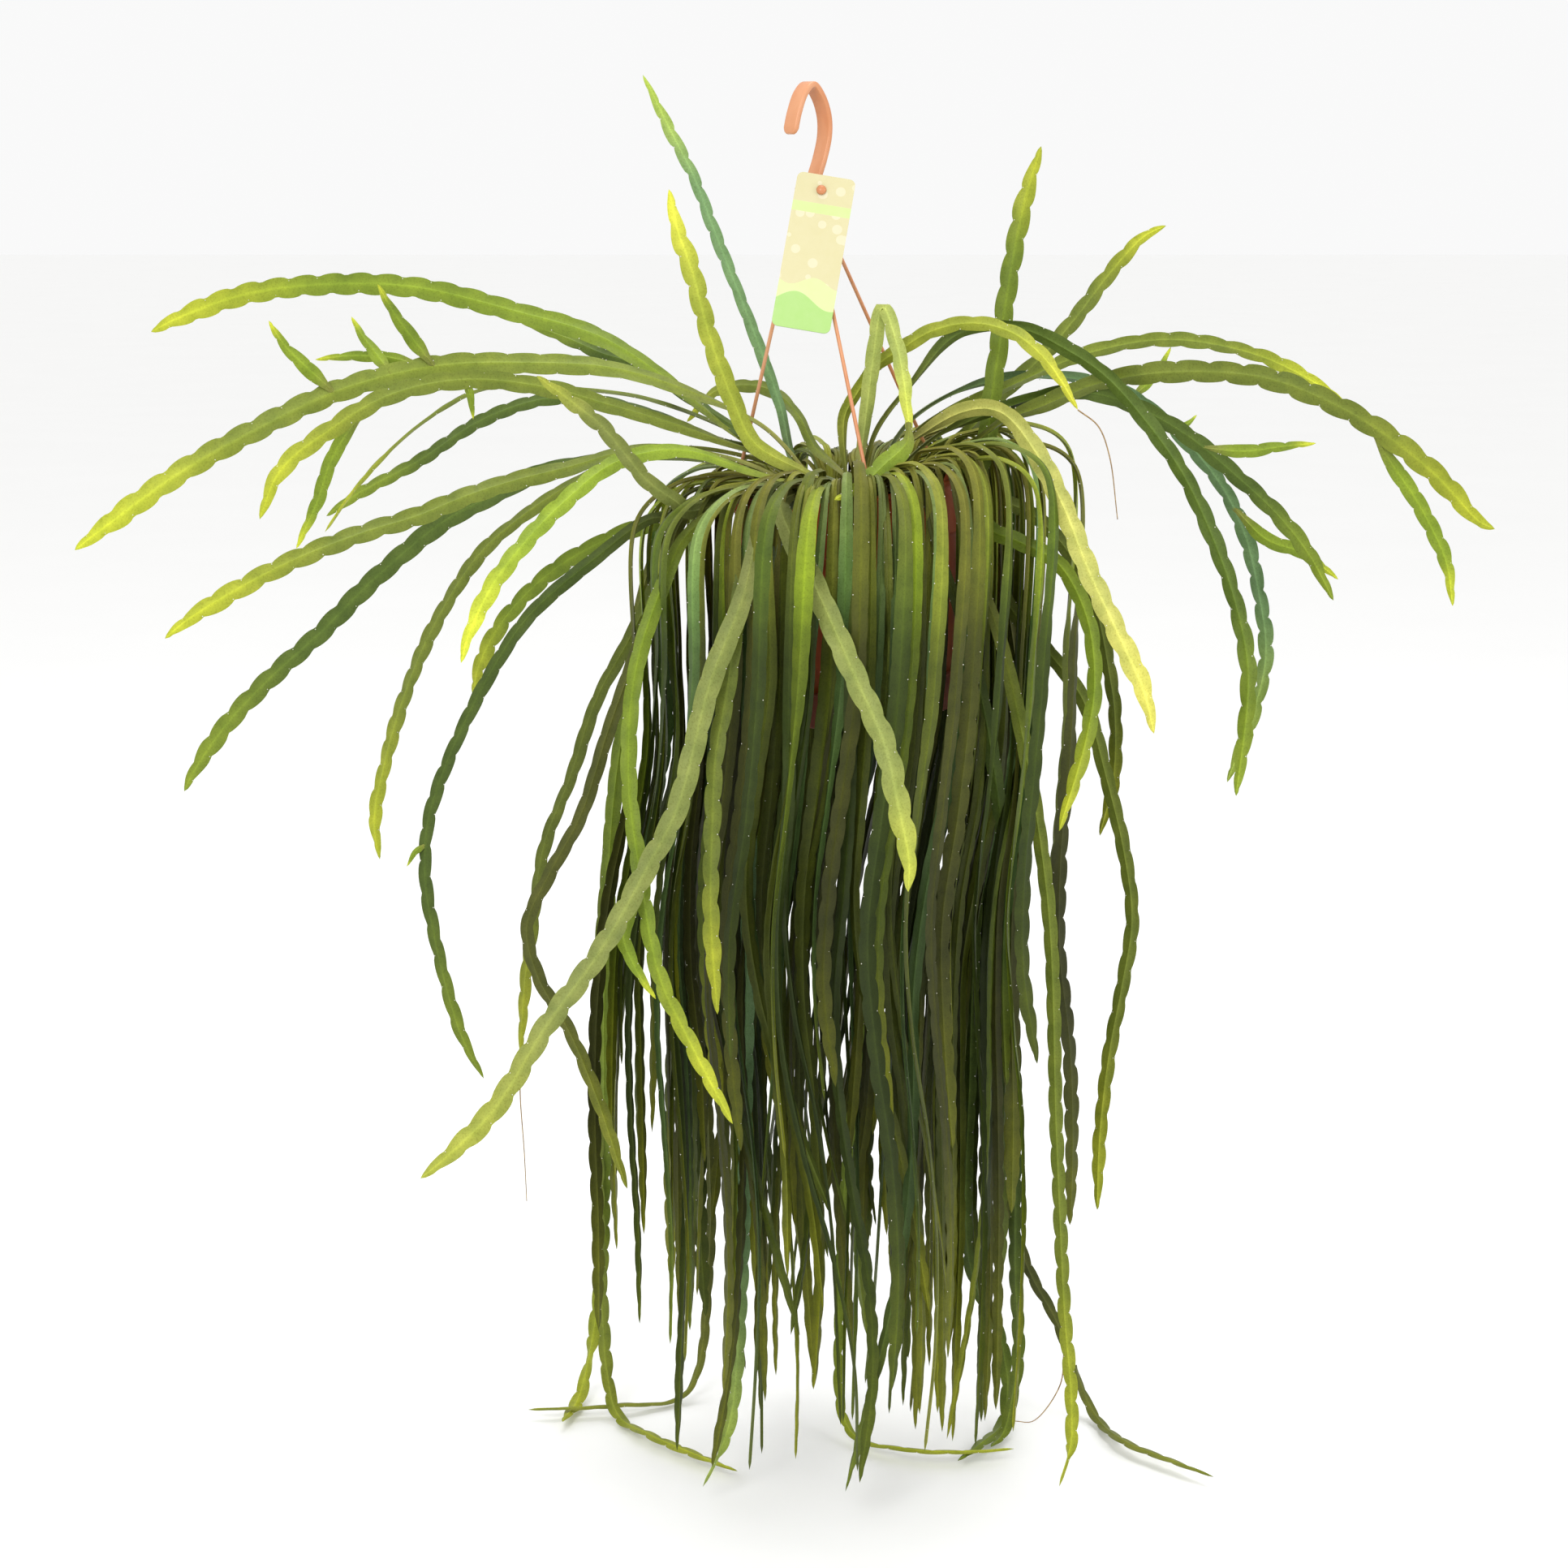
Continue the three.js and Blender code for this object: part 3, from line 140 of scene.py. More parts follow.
class Finish:
    """A material, and the one method that adds its nodes."""

    def __init__(self, name):
        self.material = bpy.data.materials.new(name)
        self.material.use_nodes = True
        self.tree = self.material.node_tree
        self.tree.nodes.clear()

    def node(self, kind, settings=None, sockets=None, output=0):
        made = self.tree.nodes.new("ShaderNode" + kind)
        for key, setting in (settings or {}).items():
            if key == "stops":
                set_stops(made.color_ramp.elements, setting)
            else:
                setattr(made, key, setting)
        for key, value in (sockets or {}).items():
            if isinstance(value, Value):
                self.tree.links.new(value.socket, made.inputs[key])
            else:
                made.inputs[key].default_value = value
        return Value(self, made.outputs[output]) if made.outputs else None

    def maths(self, operation, first, second):
        return self.node("Math", {"operation": operation}, {0: first, 1: second})

    def place(self):
        return self.node("TexCoord", output="Object")

    def noise(self, scale, detail=3, roughness=0.5, stretch=(1, 1, 1)):
        """Soft random patches from 0 to 1, of a size of one over the scale in metres."""
        where = self.node("Mapping", {}, {"Vector": self.place(), "Scale": stretch})
        sockets = {"Vector": where, "Scale": scale, "Detail": detail, "Roughness": roughness}
        return self.node("TexNoise", {}, sockets)

    def ramp(self, value, stops):
        return self.node("ValToRGB", {"stops": stops}, {"Fac": value})

    def tint(self, share, first, second, way="MIX"):
        """A colour between two others, by a share from 0 to 1."""
        settings = {"data_type": "RGBA", "blend_type": way}
        return self.node("Mix", settings, {0: share, 6: first, 7: second}, output=2)

    def spread(self, value, low, high):
        """A value from 0 to 1, spread over the span from low to high."""
        return value * (high - low) + low

    def bump(self, height, distance, strength=1.0):
        sockets = {"Height": height, "Distance": distance, "Strength": strength}
        return self.node("Bump", {}, sockets)

    def show(self, **sockets):
        """Sends the values to the surface's shader, and gives back the material."""
        named = {key.replace("_", " "): value for key, value in sockets.items()}
        surface = self.node("BsdfPrincipled", {}, named)
        self.node("OutputMaterial", {}, {"Surface": surface})
        return self.material


def set_stops(elements, stops):
    while len(elements) < len(stops):
        elements.new(0.5)
    for element, (position, colour) in zip(elements, stops):
        element.position = position
        element.color = colour


def linear(red, green, blue):
    """A colour as seen on a screen, 0 to 255, in the linear units of the renderer."""
    shares = [channel / 255 for channel in (red, green, blue)]
    return tuple(
        share / 12.92 if share < 0.04045 else ((share + 0.055) / 1.055) ** 2.4 for share in shares
    ) + (1.0,)


# %% [markdown]
# ## Floor and light
# The object hangs in front of plain white. A pale floor just under the longest stems, a white sky and three broad
# soft lamps give the even light of a studio. The floor isn't part of the object.

# %% Floor, sky and lamps
FLOOR_SIZE = 60
FLOOR_GAP = 0.004

floor_mesh = bpy.data.meshes.new("floor")
corner = FLOOR_SIZE / 2
floor_height = solid_low[2] - FLOOR_GAP
floor_corners = [(-corner, -corner), (corner, -corner), (corner, corner), (-corner, corner)]
floor_mesh.from_pydata([(x, y, floor_height) for x, y in floor_corners], [], [(0, 1, 2, 3)])
floor = bpy.data.objects.new("floor", floor_mesh)
bpy.context.scene.collection.objects.link(floor)
paper = Finish("studio paper")
shade = paper.tint(paper.noise(3), linear(251, 251, 250), linear(254, 254, 253))
floor_mesh.materials.append(paper.show(Base_Color=shade, Roughness=0.95))

sky = bpy.data.worlds.new("sky")
sky.use_nodes = True
sky.node_tree.nodes["Background"].inputs["Color"].default_value = (1, 1, 1, 1)
sky.node_tree.nodes["Background"].inputs["Strength"].default_value = 0.95
bpy.context.scene.world = sky
bpy.context.scene.view_settings.view_transform = "Standard"

LAMPS = {
    "lamp_front": ((-0.7, -2.2, 1.2), 1.2, 30),
    "lamp_right": ((1.9, -1.0, 0.5), 1.2, 10),
    "lamp_above": ((0.1, 0.4, 1.9), 1.2, 20),
}
for name, (place, size, power) in LAMPS.items():
    lamp_data = bpy.data.lights.new(name, "AREA")
    lamp_data.shape = "DISK"
    lamp_data.size = size
    lamp_data.energy = power
    lamp = bpy.data.objects.new(name, lamp_data)
    lamp.location = place
    target = np.array([0.0, 0.0, -0.35]) - np.array(place)
    lamp.rotation_euler = (math.atan2(math.hypot(target[0], target[1]), -target[2]), 0,
                           math.atan2(target[1], target[0]) - math.pi / 2)
    bpy.context.scene.collection.objects.link(lamp)
print("floor at", round(floor_height, 4), "m, lamps:", ", ".join(LAMPS))

# %% [markdown]
# ## Places on the plant
# The pot hangs a little askew, because the plant is heavier on one side: its axis is tilted by 7.75 degrees about
# Y, round the hanger's hub. Places on the pot are given in its own upright frame and then tilted. Places of stems
# come from the lines of sight: a point of the picture and a depth behind or before the hook give one point.

# %% The hung frame and the lines of sight
HANG_TILT = math.radians(7.75)
HUB_HEIGHT = -71
RIM = -182
SOIL = RIM - 12
POT_FLOOR = RIM - 146
FLOOR = -922
LYING_HEIGHT = 25


def hung(points):
    """Points of the pot's own frame, tilted as it hangs."""
    x, y, z = np.moveaxis(np.asarray(points, float), -1, 0)
    cosine, sine = math.cos(HANG_TILT), math.sin(HANG_TILT)
    return np.stack([x * cosine - z * sine, y, x * sine + z * cosine + HUB_HEIGHT], axis=-1)


def unhung(point):
    """A point in the pot's own frame."""
    x, y, z = point[0], point[1], point[2] - HUB_HEIGHT
    cosine, sine = math.cos(HANG_TILT), math.sin(HANG_TILT)
    return np.array([x * cosine + z * sine, y, z * cosine - x * sine])


def seen_at(pixel, depth):
    ray = sight(pixel)
    return eye + ray * (depth - eye[1]) / ray[1]


def seen_on_floor(pixel, lift):
    ray = sight(pixel)
    return eye + ray * (FLOOR + lift - eye[2]) / ray[2]


def around(radius, azimuth):
    """Directions round the pot are measured from the front, towards the right, in degrees."""
    return radius * math.sin(math.radians(azimuth)), -radius * math.cos(math.radians(azimuth))


def mix(first, second, share):
    return first + (second - first) * share


def smooth(value, low, high):
    """Rises from 0 at low to 1 at high, gently at both ends."""
    share = np.clip((np.asarray(value, float) - low) / (high - low), 0, 1)
    return share * share * (3 - 2 * share)


def unit(vectors):
    return vectors / np.linalg.norm(vectors, axis=-1, keepdims=True)


def dot(first, second):
    return np.sum(first * second, axis=-1)


def turned_about(vectors, axes, angles):
    """Vectors turned about unit axes by angles in radians."""
    cosine, sine = np.cos(angles)[..., None], np.sin(angles)[..., None]
    return vectors * cosine + np.cross(axes, vectors) * sine + axes * dot(axes, vectors)[..., None] * (1 - cosine)


soil_centre = hung([0, 0, SOIL])
print("middle of the soil:", soil_centre.round(1), "mm")

# %% [markdown]
# ## One smooth line through a stem's points
# A stem is a long strip along a smooth line. The line is a centripetal Catmull-Rom curve: it passes through every
# chosen point, and it makes no loops where points lie close together. `along` walks it by real length.

# %% The line of a stem


class Route:
    """A smooth line through points, walked by shares of its length."""

    def __init__(self, path):
        path = [np.asarray(point, float) for point in path]
        first, last = 2 * path[0] - path[1], 2 * path[-1] - path[-2]
        self.knots = np.array([first, *path, last])
        self.times = np.linspace(0, 1, 401)
        steps = np.linalg.norm(np.diff(self.at(self.times), axis=0), axis=1)
        self.walked = np.concatenate([[0], np.cumsum(steps)])
        self.length = self.walked[-1]

    def at(self, times):
        spans = len(self.knots) - 3
        where = np.clip(times, 0, 1) * spans
        index = np.minimum(where.astype(int), spans - 1)
        w = (where - index)[:, None]
        p0, p1, p2, p3 = (self.knots[index + step] for step in range(4))
        d0, d1, d2 = (np.sqrt(np.linalg.norm(b - a, axis=1))[:, None] for a, b in ((p0, p1), (p1, p2), (p2, p3)))
        m1 = ((p1 - p0) / d0 - (p2 - p0) / (d0 + d1) + (p2 - p1) / d1) * d1
        m2 = ((p2 - p1) / d1 - (p3 - p1) / (d1 + d2) + (p3 - p2) / d2) * d1
        cubic = 2 * p1 - 2 * p2 + m1 + m2
        square = -3 * p1 + 3 * p2 - 2 * m1 - m2
        return p1 + m1 * w + square * w**2 + cubic * w**3

    def along(self, shares):
        """Points and directions at shares of the length."""
        times = np.interp(np.asarray(shares) * self.length, self.walked, self.times)
        before, after = np.clip(times - 1e-4, 0, 1), np.clip(times + 1e-4, 0, 1)
        return self.at(times), unit(self.at(after) - self.at(before))


print("a straight line of 100 mm measures", Route([(0, 0, 0), (50, 0, 0), (100, 0, 0)]).length)

# %% [markdown]
# ## Width and face of a stem
# A stem is slim where it leaves its stock, full from a third of its length, and drawn out to a point at its end.
# Its flat side starts edge-on and turns towards the viewer, or, in the curtain, it lies along the pot's side and
# twists as it hangs. `blade_rows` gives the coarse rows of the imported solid, which serve to find it again.

# %% Width and face
CRENATE = 0.3
EDGE_BEND = 0.6
BLADE_THICKNESS = 2.8


def half_width(along, length, width, base):
    grown = mix(base, width, smooth(along, 0.04 * length, 0.3 * length))
    return grown / 2 * mix(0.42, 1, smooth(length - along, 0, 42))


def facing(turn, side=0):
    """A face that turns towards the viewer from turn[0] to turn[1] degrees, and lies flat near the floor."""

    def across_at(shares, at, along):
        view = unit(at - eye)
        if side:
            down = smooth(-shares, -0.15, -0.03)[:, None]
            view = mix(view * side, np.array([0.0, 0.0, -1.0]), down)
        across = np.cross(along, view)
        across[dot(across, across) < 1e-4] = (1, 0, 0)
        start = 0 if side else turn[0]
        angles = np.radians(mix(start, turn[1], smooth(shares, 0.05, 0.6)))
        across = turned_about(across, along, angles)
        lying = np.stack([-along[:, 1], along[:, 0], 0 * along[:, 0]], axis=1)
        lying[dot(lying, across) < 0] *= -1
        low = smooth(FLOOR - at[:, 2], -2 * LYING_HEIGHT, -LYING_HEIGHT)[:, None]
        return unit(mix(across, lying, low))

    return across_at


def twisting(twist):
    """A face that lies along the pot's side and twists by an angle in degrees on its way down."""

    def across_at(shares, at, along):
        side = unit(np.stack([-at[:, 1], at[:, 0] - soil_centre[0], 0 * at[:, 0]], axis=1))
        across = unit(side - along * dot(side, along)[:, None])
        return turned_about(across, along, np.radians(twist * smooth(shares, 0.22, 0.6)))

    return across_at


def pinches(at, along, across):
    """The half widths that sharp edgewise bends leave room for."""
    gaps = np.linalg.norm(np.diff(at, axis=0), axis=1)
    change = np.diff(along, axis=0)
    tiny = 1e-12
    after = gaps / np.maximum(np.abs(dot(change, across[:-1])), tiny)
    before = gaps / np.maximum(np.abs(dot(change, across[1:])), tiny)
    room = np.full(len(at), np.inf)
    room[:-1] = after
    room[1:] = np.minimum(room[1:], before)
    return EDGE_BEND * room


def blade_rows(plan):
    """The four corners of each coarse row, and the room for the width at each."""
    route = plan["line"]
    count = max(5, int(route.length / plan["step"] + 0.5))
    i = np.arange(count)
    shares = mix(i / count, (i / count) ** 2, plan["growth"])
    at, along = route.along(shares)
    across = plan["face"](shares, at, along)
    out = unit(np.cross(across, along))
    room = pinches(at, along, across)
    half = np.minimum(half_width(shares * route.length, route.length, plan["width"], plan["base"]), room)
    swing = np.where(i % 2 == 1, 1, -1) * CRENATE * mix(0.35, 1, shares)
    thick = BLADE_THICKNESS / 2 * mix(1, 0.7, shares)
    corners = np.concatenate([
        at - across * (half * (1 + swing))[:, None], at + out * thick[:, None],
        at + across * (half * (1 - swing))[:, None], at - out * thick[:, None],
    ])
    return corners, shares, room


def picture_shares(route):
    """Shares of a route's length in the picture at which its points lie."""
    gaps = np.hypot(*np.diff(np.array(route, float), axis=0).T)
    sums = np.concatenate([[0], np.cumsum(gaps)])
    return sums / sums[-1]


print("half width half way along a stem of 600 mm:", half_width(300, 600, 12, 4))

# %% [markdown]
# ## Where the stocks stand
# A stem grows from a stock, its woody foot in the potting mix. The stocks of the stems that rise and arch stand in
# the middle, spread like the seeds of a sunflower. Fifteen more stand in a ring and carry the clumps of the curtain.

# %% Stocks
STOCK_RISE = 3.5
GOLDEN_ANGLE = 137.508
CROWN_RADIUS = 31
CROWN_STOCKS = 26
CROWN_PULL = 0.42
CLUMPS = 15
STRAND_AZIMUTHS = (10, 130, 250)
SECTOR = 360 / CLUMPS

crown_stocks = [
    around(CROWN_RADIUS * math.sqrt((i + 0.5) / CROWN_STOCKS), i * GOLDEN_ANGLE) for i in range(CROWN_STOCKS)
]
clump_stocks = [
    around(58 if k % 2 else 47, STRAND_AZIMUTHS[0] + (k + 0.5) * SECTOR) for k in range(CLUMPS)
]
free_stocks = list(crown_stocks)


def stock_top(stock, rise):
    return hung([stock[0], stock[1], SOIL + STOCK_RISE + rise])


def nearest_stock(way):
    """The free stock that stands nearest to the way the stem leaves the crown."""
    wanted = unhung(way)
    best = min(free_stocks, key=lambda s: math.hypot(s[0] - CROWN_PULL * wanted[0], s[1] - CROWN_PULL * wanted[1]))
    free_stocks.remove(best)
    return best


print(len(crown_stocks), "stocks in the crown and", len(clump_stocks), "in the ring")

# %% [markdown]
# ## The routes of the stems that show
# Each stem that can be told from the others has its route as points of the picture, from the crown to its tip, the
# depth of its start and end, its width, and how far its face is turned from the viewer at both ends.

# %% Stems of the crown
SHOWN_STEMS = {
    "high_left": {
      "route": [[988, 588], [950, 566], [890, 524], [818, 466], [741, 417], [634, 384], [515, 355], [416, 350],
        [301, 363], [218, 393], [186, 409]],
      "deep": [9, 130], "width": 13.5, "turn": [70, 12],
    },
    "high_left_twin": {
      "route": [[985, 580], [930, 545], [880, 512], [820, 470], [770, 445], [741, 436], [700, 418], [640, 396]],
      "deep": [15, 120], "beside": "high_left", "width": 9, "turn": [60, 30],
    },
    "long_left": {
      "route": [[1004, 582], [945, 529], [863, 489], [761, 456], [653, 448], [535, 452], [416, 482], [301, 537],
        [218, 585], [139, 642], [92, 678]],
      "deep": [-7, -80], "width": 13.5, "turn": [75, 8],
    },
    "mid_left": {
      "route": [[1000, 592], [955, 566], [900, 548], [835, 525], [741, 497], [673, 478], [574, 468], [483, 486],
        [408, 529], [345, 581], [320, 640]],
      "deep": [-16, -170], "width": 11, "turn": [70, 10],
    },
    "under_left": {
      "route": [[1000, 585], [940, 556], [880, 540], [800, 510], [741, 494], [673, 492], [594, 518], [515, 569],
        [436, 612], [402, 636]],
      "deep": [22, 200], "width": 9.5, "turn": [65, 25],
    },
    "thin_left": {
      "route": [[996, 580], [900, 530], [800, 492], [741, 482], [673, 478], [594, 480], [515, 525], [442, 597],
        [400, 656]],
      "deep": [16, 60], "beside": "under_left", "width": 9, "turn": [80, 75],
    },
    "low_left": {
      "route": [[990, 594], [930, 575], [880, 560], [820, 553], [760, 560], [700, 577], [634, 593], [574, 612],
        [515, 636], [444, 658], [344, 699], [233, 763], [203, 787]],
      "deep": [-22, -210], "width": 11.5, "turn": [75, 15],
    },
    "dark_left": {
      "route": [[985, 600], [930, 582], [860, 566], [790, 560], [720, 570], [660, 585], [600, 615], [547, 643],
        [462, 713], [397, 778], [335, 834], [280, 892], [239, 951], [227, 975]],
      "deep": [3, 20], "width": 12, "turn": [70, 10],
    },
    "bow_left": {
      "route": [[985, 586], [900, 558], [830, 552], [760, 568], [700, 600], [640, 640], [591, 684], [535, 772],
        [497, 863], [473, 948], [462, 1010], [468, 1059]],
      "deep": [20, 150], "width": 10.5, "turn": [75, 30],
    },
    "short_left": {
      "route": [[985, 602], [920, 580], [840, 556], [760, 570], [696, 618], [645, 671], [605, 725], [576, 787],
        [568, 817]],
      "deep": [-24, -150], "width": 10.5, "turn": [70, 10],
    },
    "top_left": {
      "route": [[1000, 600], [982, 574], [961, 501], [929, 411], [880, 285], [855, 219], [826, 162], [792, 92]],
      "deep": [14, 60], "width": 8, "turn": [40, 20],
    },
    "upright_left": {
      "route": [[975, 590], [930, 548], [906, 501], [877, 423], [851, 329], [835, 284], [824, 233]],
      "deep": [-10, -50], "width": 11.5, "turn": [30, 10],
    },
    "behind_left": {
      "route": [[1014, 586], [1002, 550], [986, 517], [961, 489], [929, 476], [880, 484], [846, 520]],
      "deep": [24, 110], "width": 9, "turn": [60, 30],
    },
    "raised_right": {
      "route": [[1060, 590], [1110, 570], [1180, 540], [1232, 487], [1285, 438], [1326, 391], [1368, 336],
        [1410, 291], [1437, 278]],
      "deep": [11, 100], "width": 10, "turn": [70, 10],
    },
    "yellow_right": {
      "route": [[1024, 584], [1039, 515], [1055, 484], [1080, 450], [1108, 431], [1150, 407], [1200, 398],
        [1250, 411], [1290, 445], [1318, 487], [1328, 505]],
      "deep": [-4, -60], "width": 9, "turn": [50, 10],
    },
    "arch_right": {
      "route": [[1040, 590], [1080, 530], [1120, 476], [1180, 410], [1258, 404], [1310, 427], [1363, 463],
        [1415, 522], [1458, 584], [1493, 658], [1520, 734], [1537, 813], [1537, 869], [1523, 981]],
      "deep": [-15, -100], "width": 10.5, "turn": [60, 20],
    },
    "pale_arch_right": {
      "route": [[1050, 585], [1120, 520], [1200, 474], [1300, 462], [1389, 485], [1443, 525], [1500, 590],
        [1532, 652], [1551, 728], [1560, 807], [1546, 874], [1512, 964]],
      "deep": [17, 110], "width": 10.5, "turn": [70, 25],
    },
    "long_right": {
      "route": [[1050, 592], [1110, 578], [1180, 556], [1240, 515], [1280, 500], [1353, 471], [1443, 458],
        [1552, 464], [1625, 489], [1698, 529], [1771, 587], [1822, 642], [1842, 652]],
      "deep": [-11, -80], "width": 13, "turn": [75, 10],
    },
    "upper_right": {
      "route": [[1045, 580], [1130, 530], [1240, 476], [1342, 434], [1443, 418], [1552, 438], [1625, 474],
        [1656, 495]],
      "deep": [24, 140], "width": 9.5, "turn": [65, 20],
    },
    "green_right": {
      "route": [[1064, 588], [1150, 540], [1240, 500], [1327, 482], [1389, 496], [1462, 536], [1516, 580],
        [1574, 634], [1614, 685], [1643, 740]],
      "deep": [3, 30], "width": 10.5, "turn": [70, 10],
    },
    "cream_right": {
      "route": [[1055, 597], [1100, 560], [1140, 530], [1180, 508], [1214, 502], [1240, 511], [1278, 560],
        [1311, 626], [1341, 703], [1374, 774], [1408, 848], [1422, 904]],
      "deep": [-24, -150], "width": 12.5, "turn": [60, 5],
    },
    "stub_right": {
      "route": [[1065, 592], [1110, 573], [1176, 553], [1217, 549], [1268, 550]],
      "deep": [25, 90], "beside": "upper_right", "width": 9, "turn": [60, 10],
    },
    "folded": {
      "route": [[1052, 590], [1061, 554], [1067, 509], [1075, 448], [1088, 378], [1100, 407], [1110, 448],
        [1116, 489], [1122, 546]],
      "deep": [-19, -50], "step": 7, "width": 9, "turn": [30, 5],
    },
}

# %% [markdown]
# Stems that lie over the rim start just outside it. The longest of them come down to the floor and lie on it.

# %% Stems over the rim
RIM_STEMS = {
    "front_pale": {
      "route": [[962, 622], [978, 665], [1017, 751], [1055, 837], [1090, 917], [1107, 992], [1120, 1062],
        [1119, 1099]],
      "deep": [-97, -190], "width": 13.5, "turn": [20, 5],
    },
    "front_cross": {
      "route": [[938, 645], [916, 735], [875, 842], [835, 994], [798, 1068], [739, 1173], [674, 1263],
        [607, 1369], [550, 1426], [518, 1452]],
      "deep": [-100, -215], "width": 12.5, "turn": [20, 5],
    },
    "front_green": {
      "route": [[846, 660], [819, 715], [783, 830], [775, 960], [787, 1063], [812, 1201], [851, 1286],
        [903, 1385]],
      "deep": [-65, -205], "width": 9.5, "turn": [40, 10],
    },
    "front_inner": {
      "route": [[926, 668], [912, 735], [895, 855], [882, 930], [878, 1010], [876, 1130], [884, 1250]],
      "deep": [-90, -175], "width": 10, "turn": [30, 15],
    },
    "pale_left": {
      "route": [[851, 630], [831, 617], [798, 593], [769, 558], [741, 525], [704, 495], [661, 463]],
      "deep": [-50, -150], "width": 9.5, "turn": [60, 5],
    },
    "edge_left": {
      "route": [[842, 640], [824, 684], [778, 784], [737, 860], [704, 957], [671, 1044], [657, 1139], [649, 1197],
        [641, 1299]],
      "deep": [14, 10], "width": 9, "turn": [70, 30],
    },
    "knee_left": {
      "route": [[838, 668], [812, 730], [786, 800], [750, 900], [716, 1005], [678, 1076], [650, 1140],
        [662, 1200], [703, 1273], [735, 1350], [773, 1465]],
      "deep": [-38, -70], "width": 8.5, "turn": [70, 10],
    },
    "short_left_low": {
      "route": [[832, 634], [760, 660], [684, 702], [620, 766], [588, 831], [586, 867]],
      "deep": [34, 80], "width": 11, "turn": [70, 20],
    },
    "thread_left": {
      "route": [[836, 636], [800, 640], [735, 687], [658, 753], [620, 804], [564, 910], [529, 1007], [524, 1076],
        [536, 1155], [568, 1273], [596, 1329]],
      "deep": [-6, -60], "width": 8.5, "turn": [70, 20],
    },
    "upright_right": {
      "route": [[1194, 592], [1211, 566], [1218, 530], [1222, 490], [1231, 425], [1249, 312], [1264, 241],
        [1283, 180]],
      "deep": [-12, -30], "rises": True, "width": 11.5, "turn": [60, 5],
    },
    "drop_right": {
      "route": [[1215, 606], [1272, 634], [1313, 675], [1349, 744], [1367, 828], [1374, 879], [1372, 960],
        [1355, 1030]],
      "deep": [40, 90], "width": 9.5, "turn": [70, 20],
    },
    "green_drop_right": {
      "route": [[1216, 648], [1257, 668], [1303, 693], [1339, 759], [1349, 841], [1339, 909], [1305, 1024]],
      "deep": [-35, -95], "width": 10, "turn": [70, 20],
    },
    "long_drop_right": {
      "route": [[1196, 640], [1222, 700], [1250, 756], [1293, 805], [1334, 861], [1364, 960], [1386, 1054],
        [1395, 1134], [1383, 1214], [1367, 1298], [1355, 1402], [1352, 1491]],
      "deep": [12, 20], "width": 9.5, "turn": [70, 20],
    },
    "floor_left": {
      "route": [[862, 640], [806, 740], [762, 940], [746, 1200], [744, 1440], [738, 1600]],
      "floor": [[716, 1716], [693, 1752]], "deep": [-52, 104], "width": 10,
    },
    "floor_left_turn": {
      "route": [[836, 634], [800, 700], [768, 900], [740, 1180], [736, 1400], [742, 1600]],
      "floor": [[758, 1738], [800, 1768], [855, 1792], [909, 1813]], "deep": [50, 78], "width": 9,
    },
    "floor_front": {
      "route": [[960, 664], [942, 780], [925, 1000], [920, 1300], [913, 1600], [901, 1745], [884, 1796],
        [866, 1832]],
      "deep": [-98, -66], "width": 9,
    },
    "floor_back_left": {
      "route": [[905, 620], [884, 720], [876, 1000], [872, 1300], [874, 1560]],
      "floor": [[846, 1716], [760, 1732], [650, 1737]], "deep": [90, 115], "width": 7,
    },
    "floor_right": {
      "route": [[1214, 640], [1244, 760], [1262, 1000], [1240, 1260], [1222, 1404], [1266, 1560], [1303, 1630]],
      "floor": [[1345, 1738], [1386, 1777], [1440, 1799], [1496, 1820]], "deep": [30, 78], "width": 8,
    },
    "floor_right_front": {
      "route": [[1188, 660], [1236, 800], [1290, 1100], [1302, 1400], [1312, 1620], [1320, 1720], [1319, 1784],
        [1305, 1832]],
      "deep": [-62, -66], "width": 9,
    },
    "floor_right_inner": {
      "route": [[1152, 664], [1196, 800], [1232, 1000], [1250, 1300], [1251, 1560], [1254, 1680]],
      "floor": [[1238, 1762], [1221, 1783]], "deep": [-84, 44], "width": 9,
    },
    "floor_right_hook": {
      "route": [[1192, 624], [1198, 760], [1205, 1000], [1196, 1300], [1196, 1560], [1236, 1660]],
      "floor": [[1238, 1746], [1208, 1780], [1180, 1800]], "deep": [28, 66], "width": 9,
    },
    "floor_middle": {
      "route": [[1094, 668], [1090, 900], [1056, 1300], [1034, 1600]],
      "floor": [[1046, 1762], [1116, 1786], [1193, 1789], [1250, 1785]], "deep": [-104, 44], "width": 7,
    },
}

# %% [markdown]
# Young shoots grow from the side of older stems: a point on the stem that carries each, then its own points.

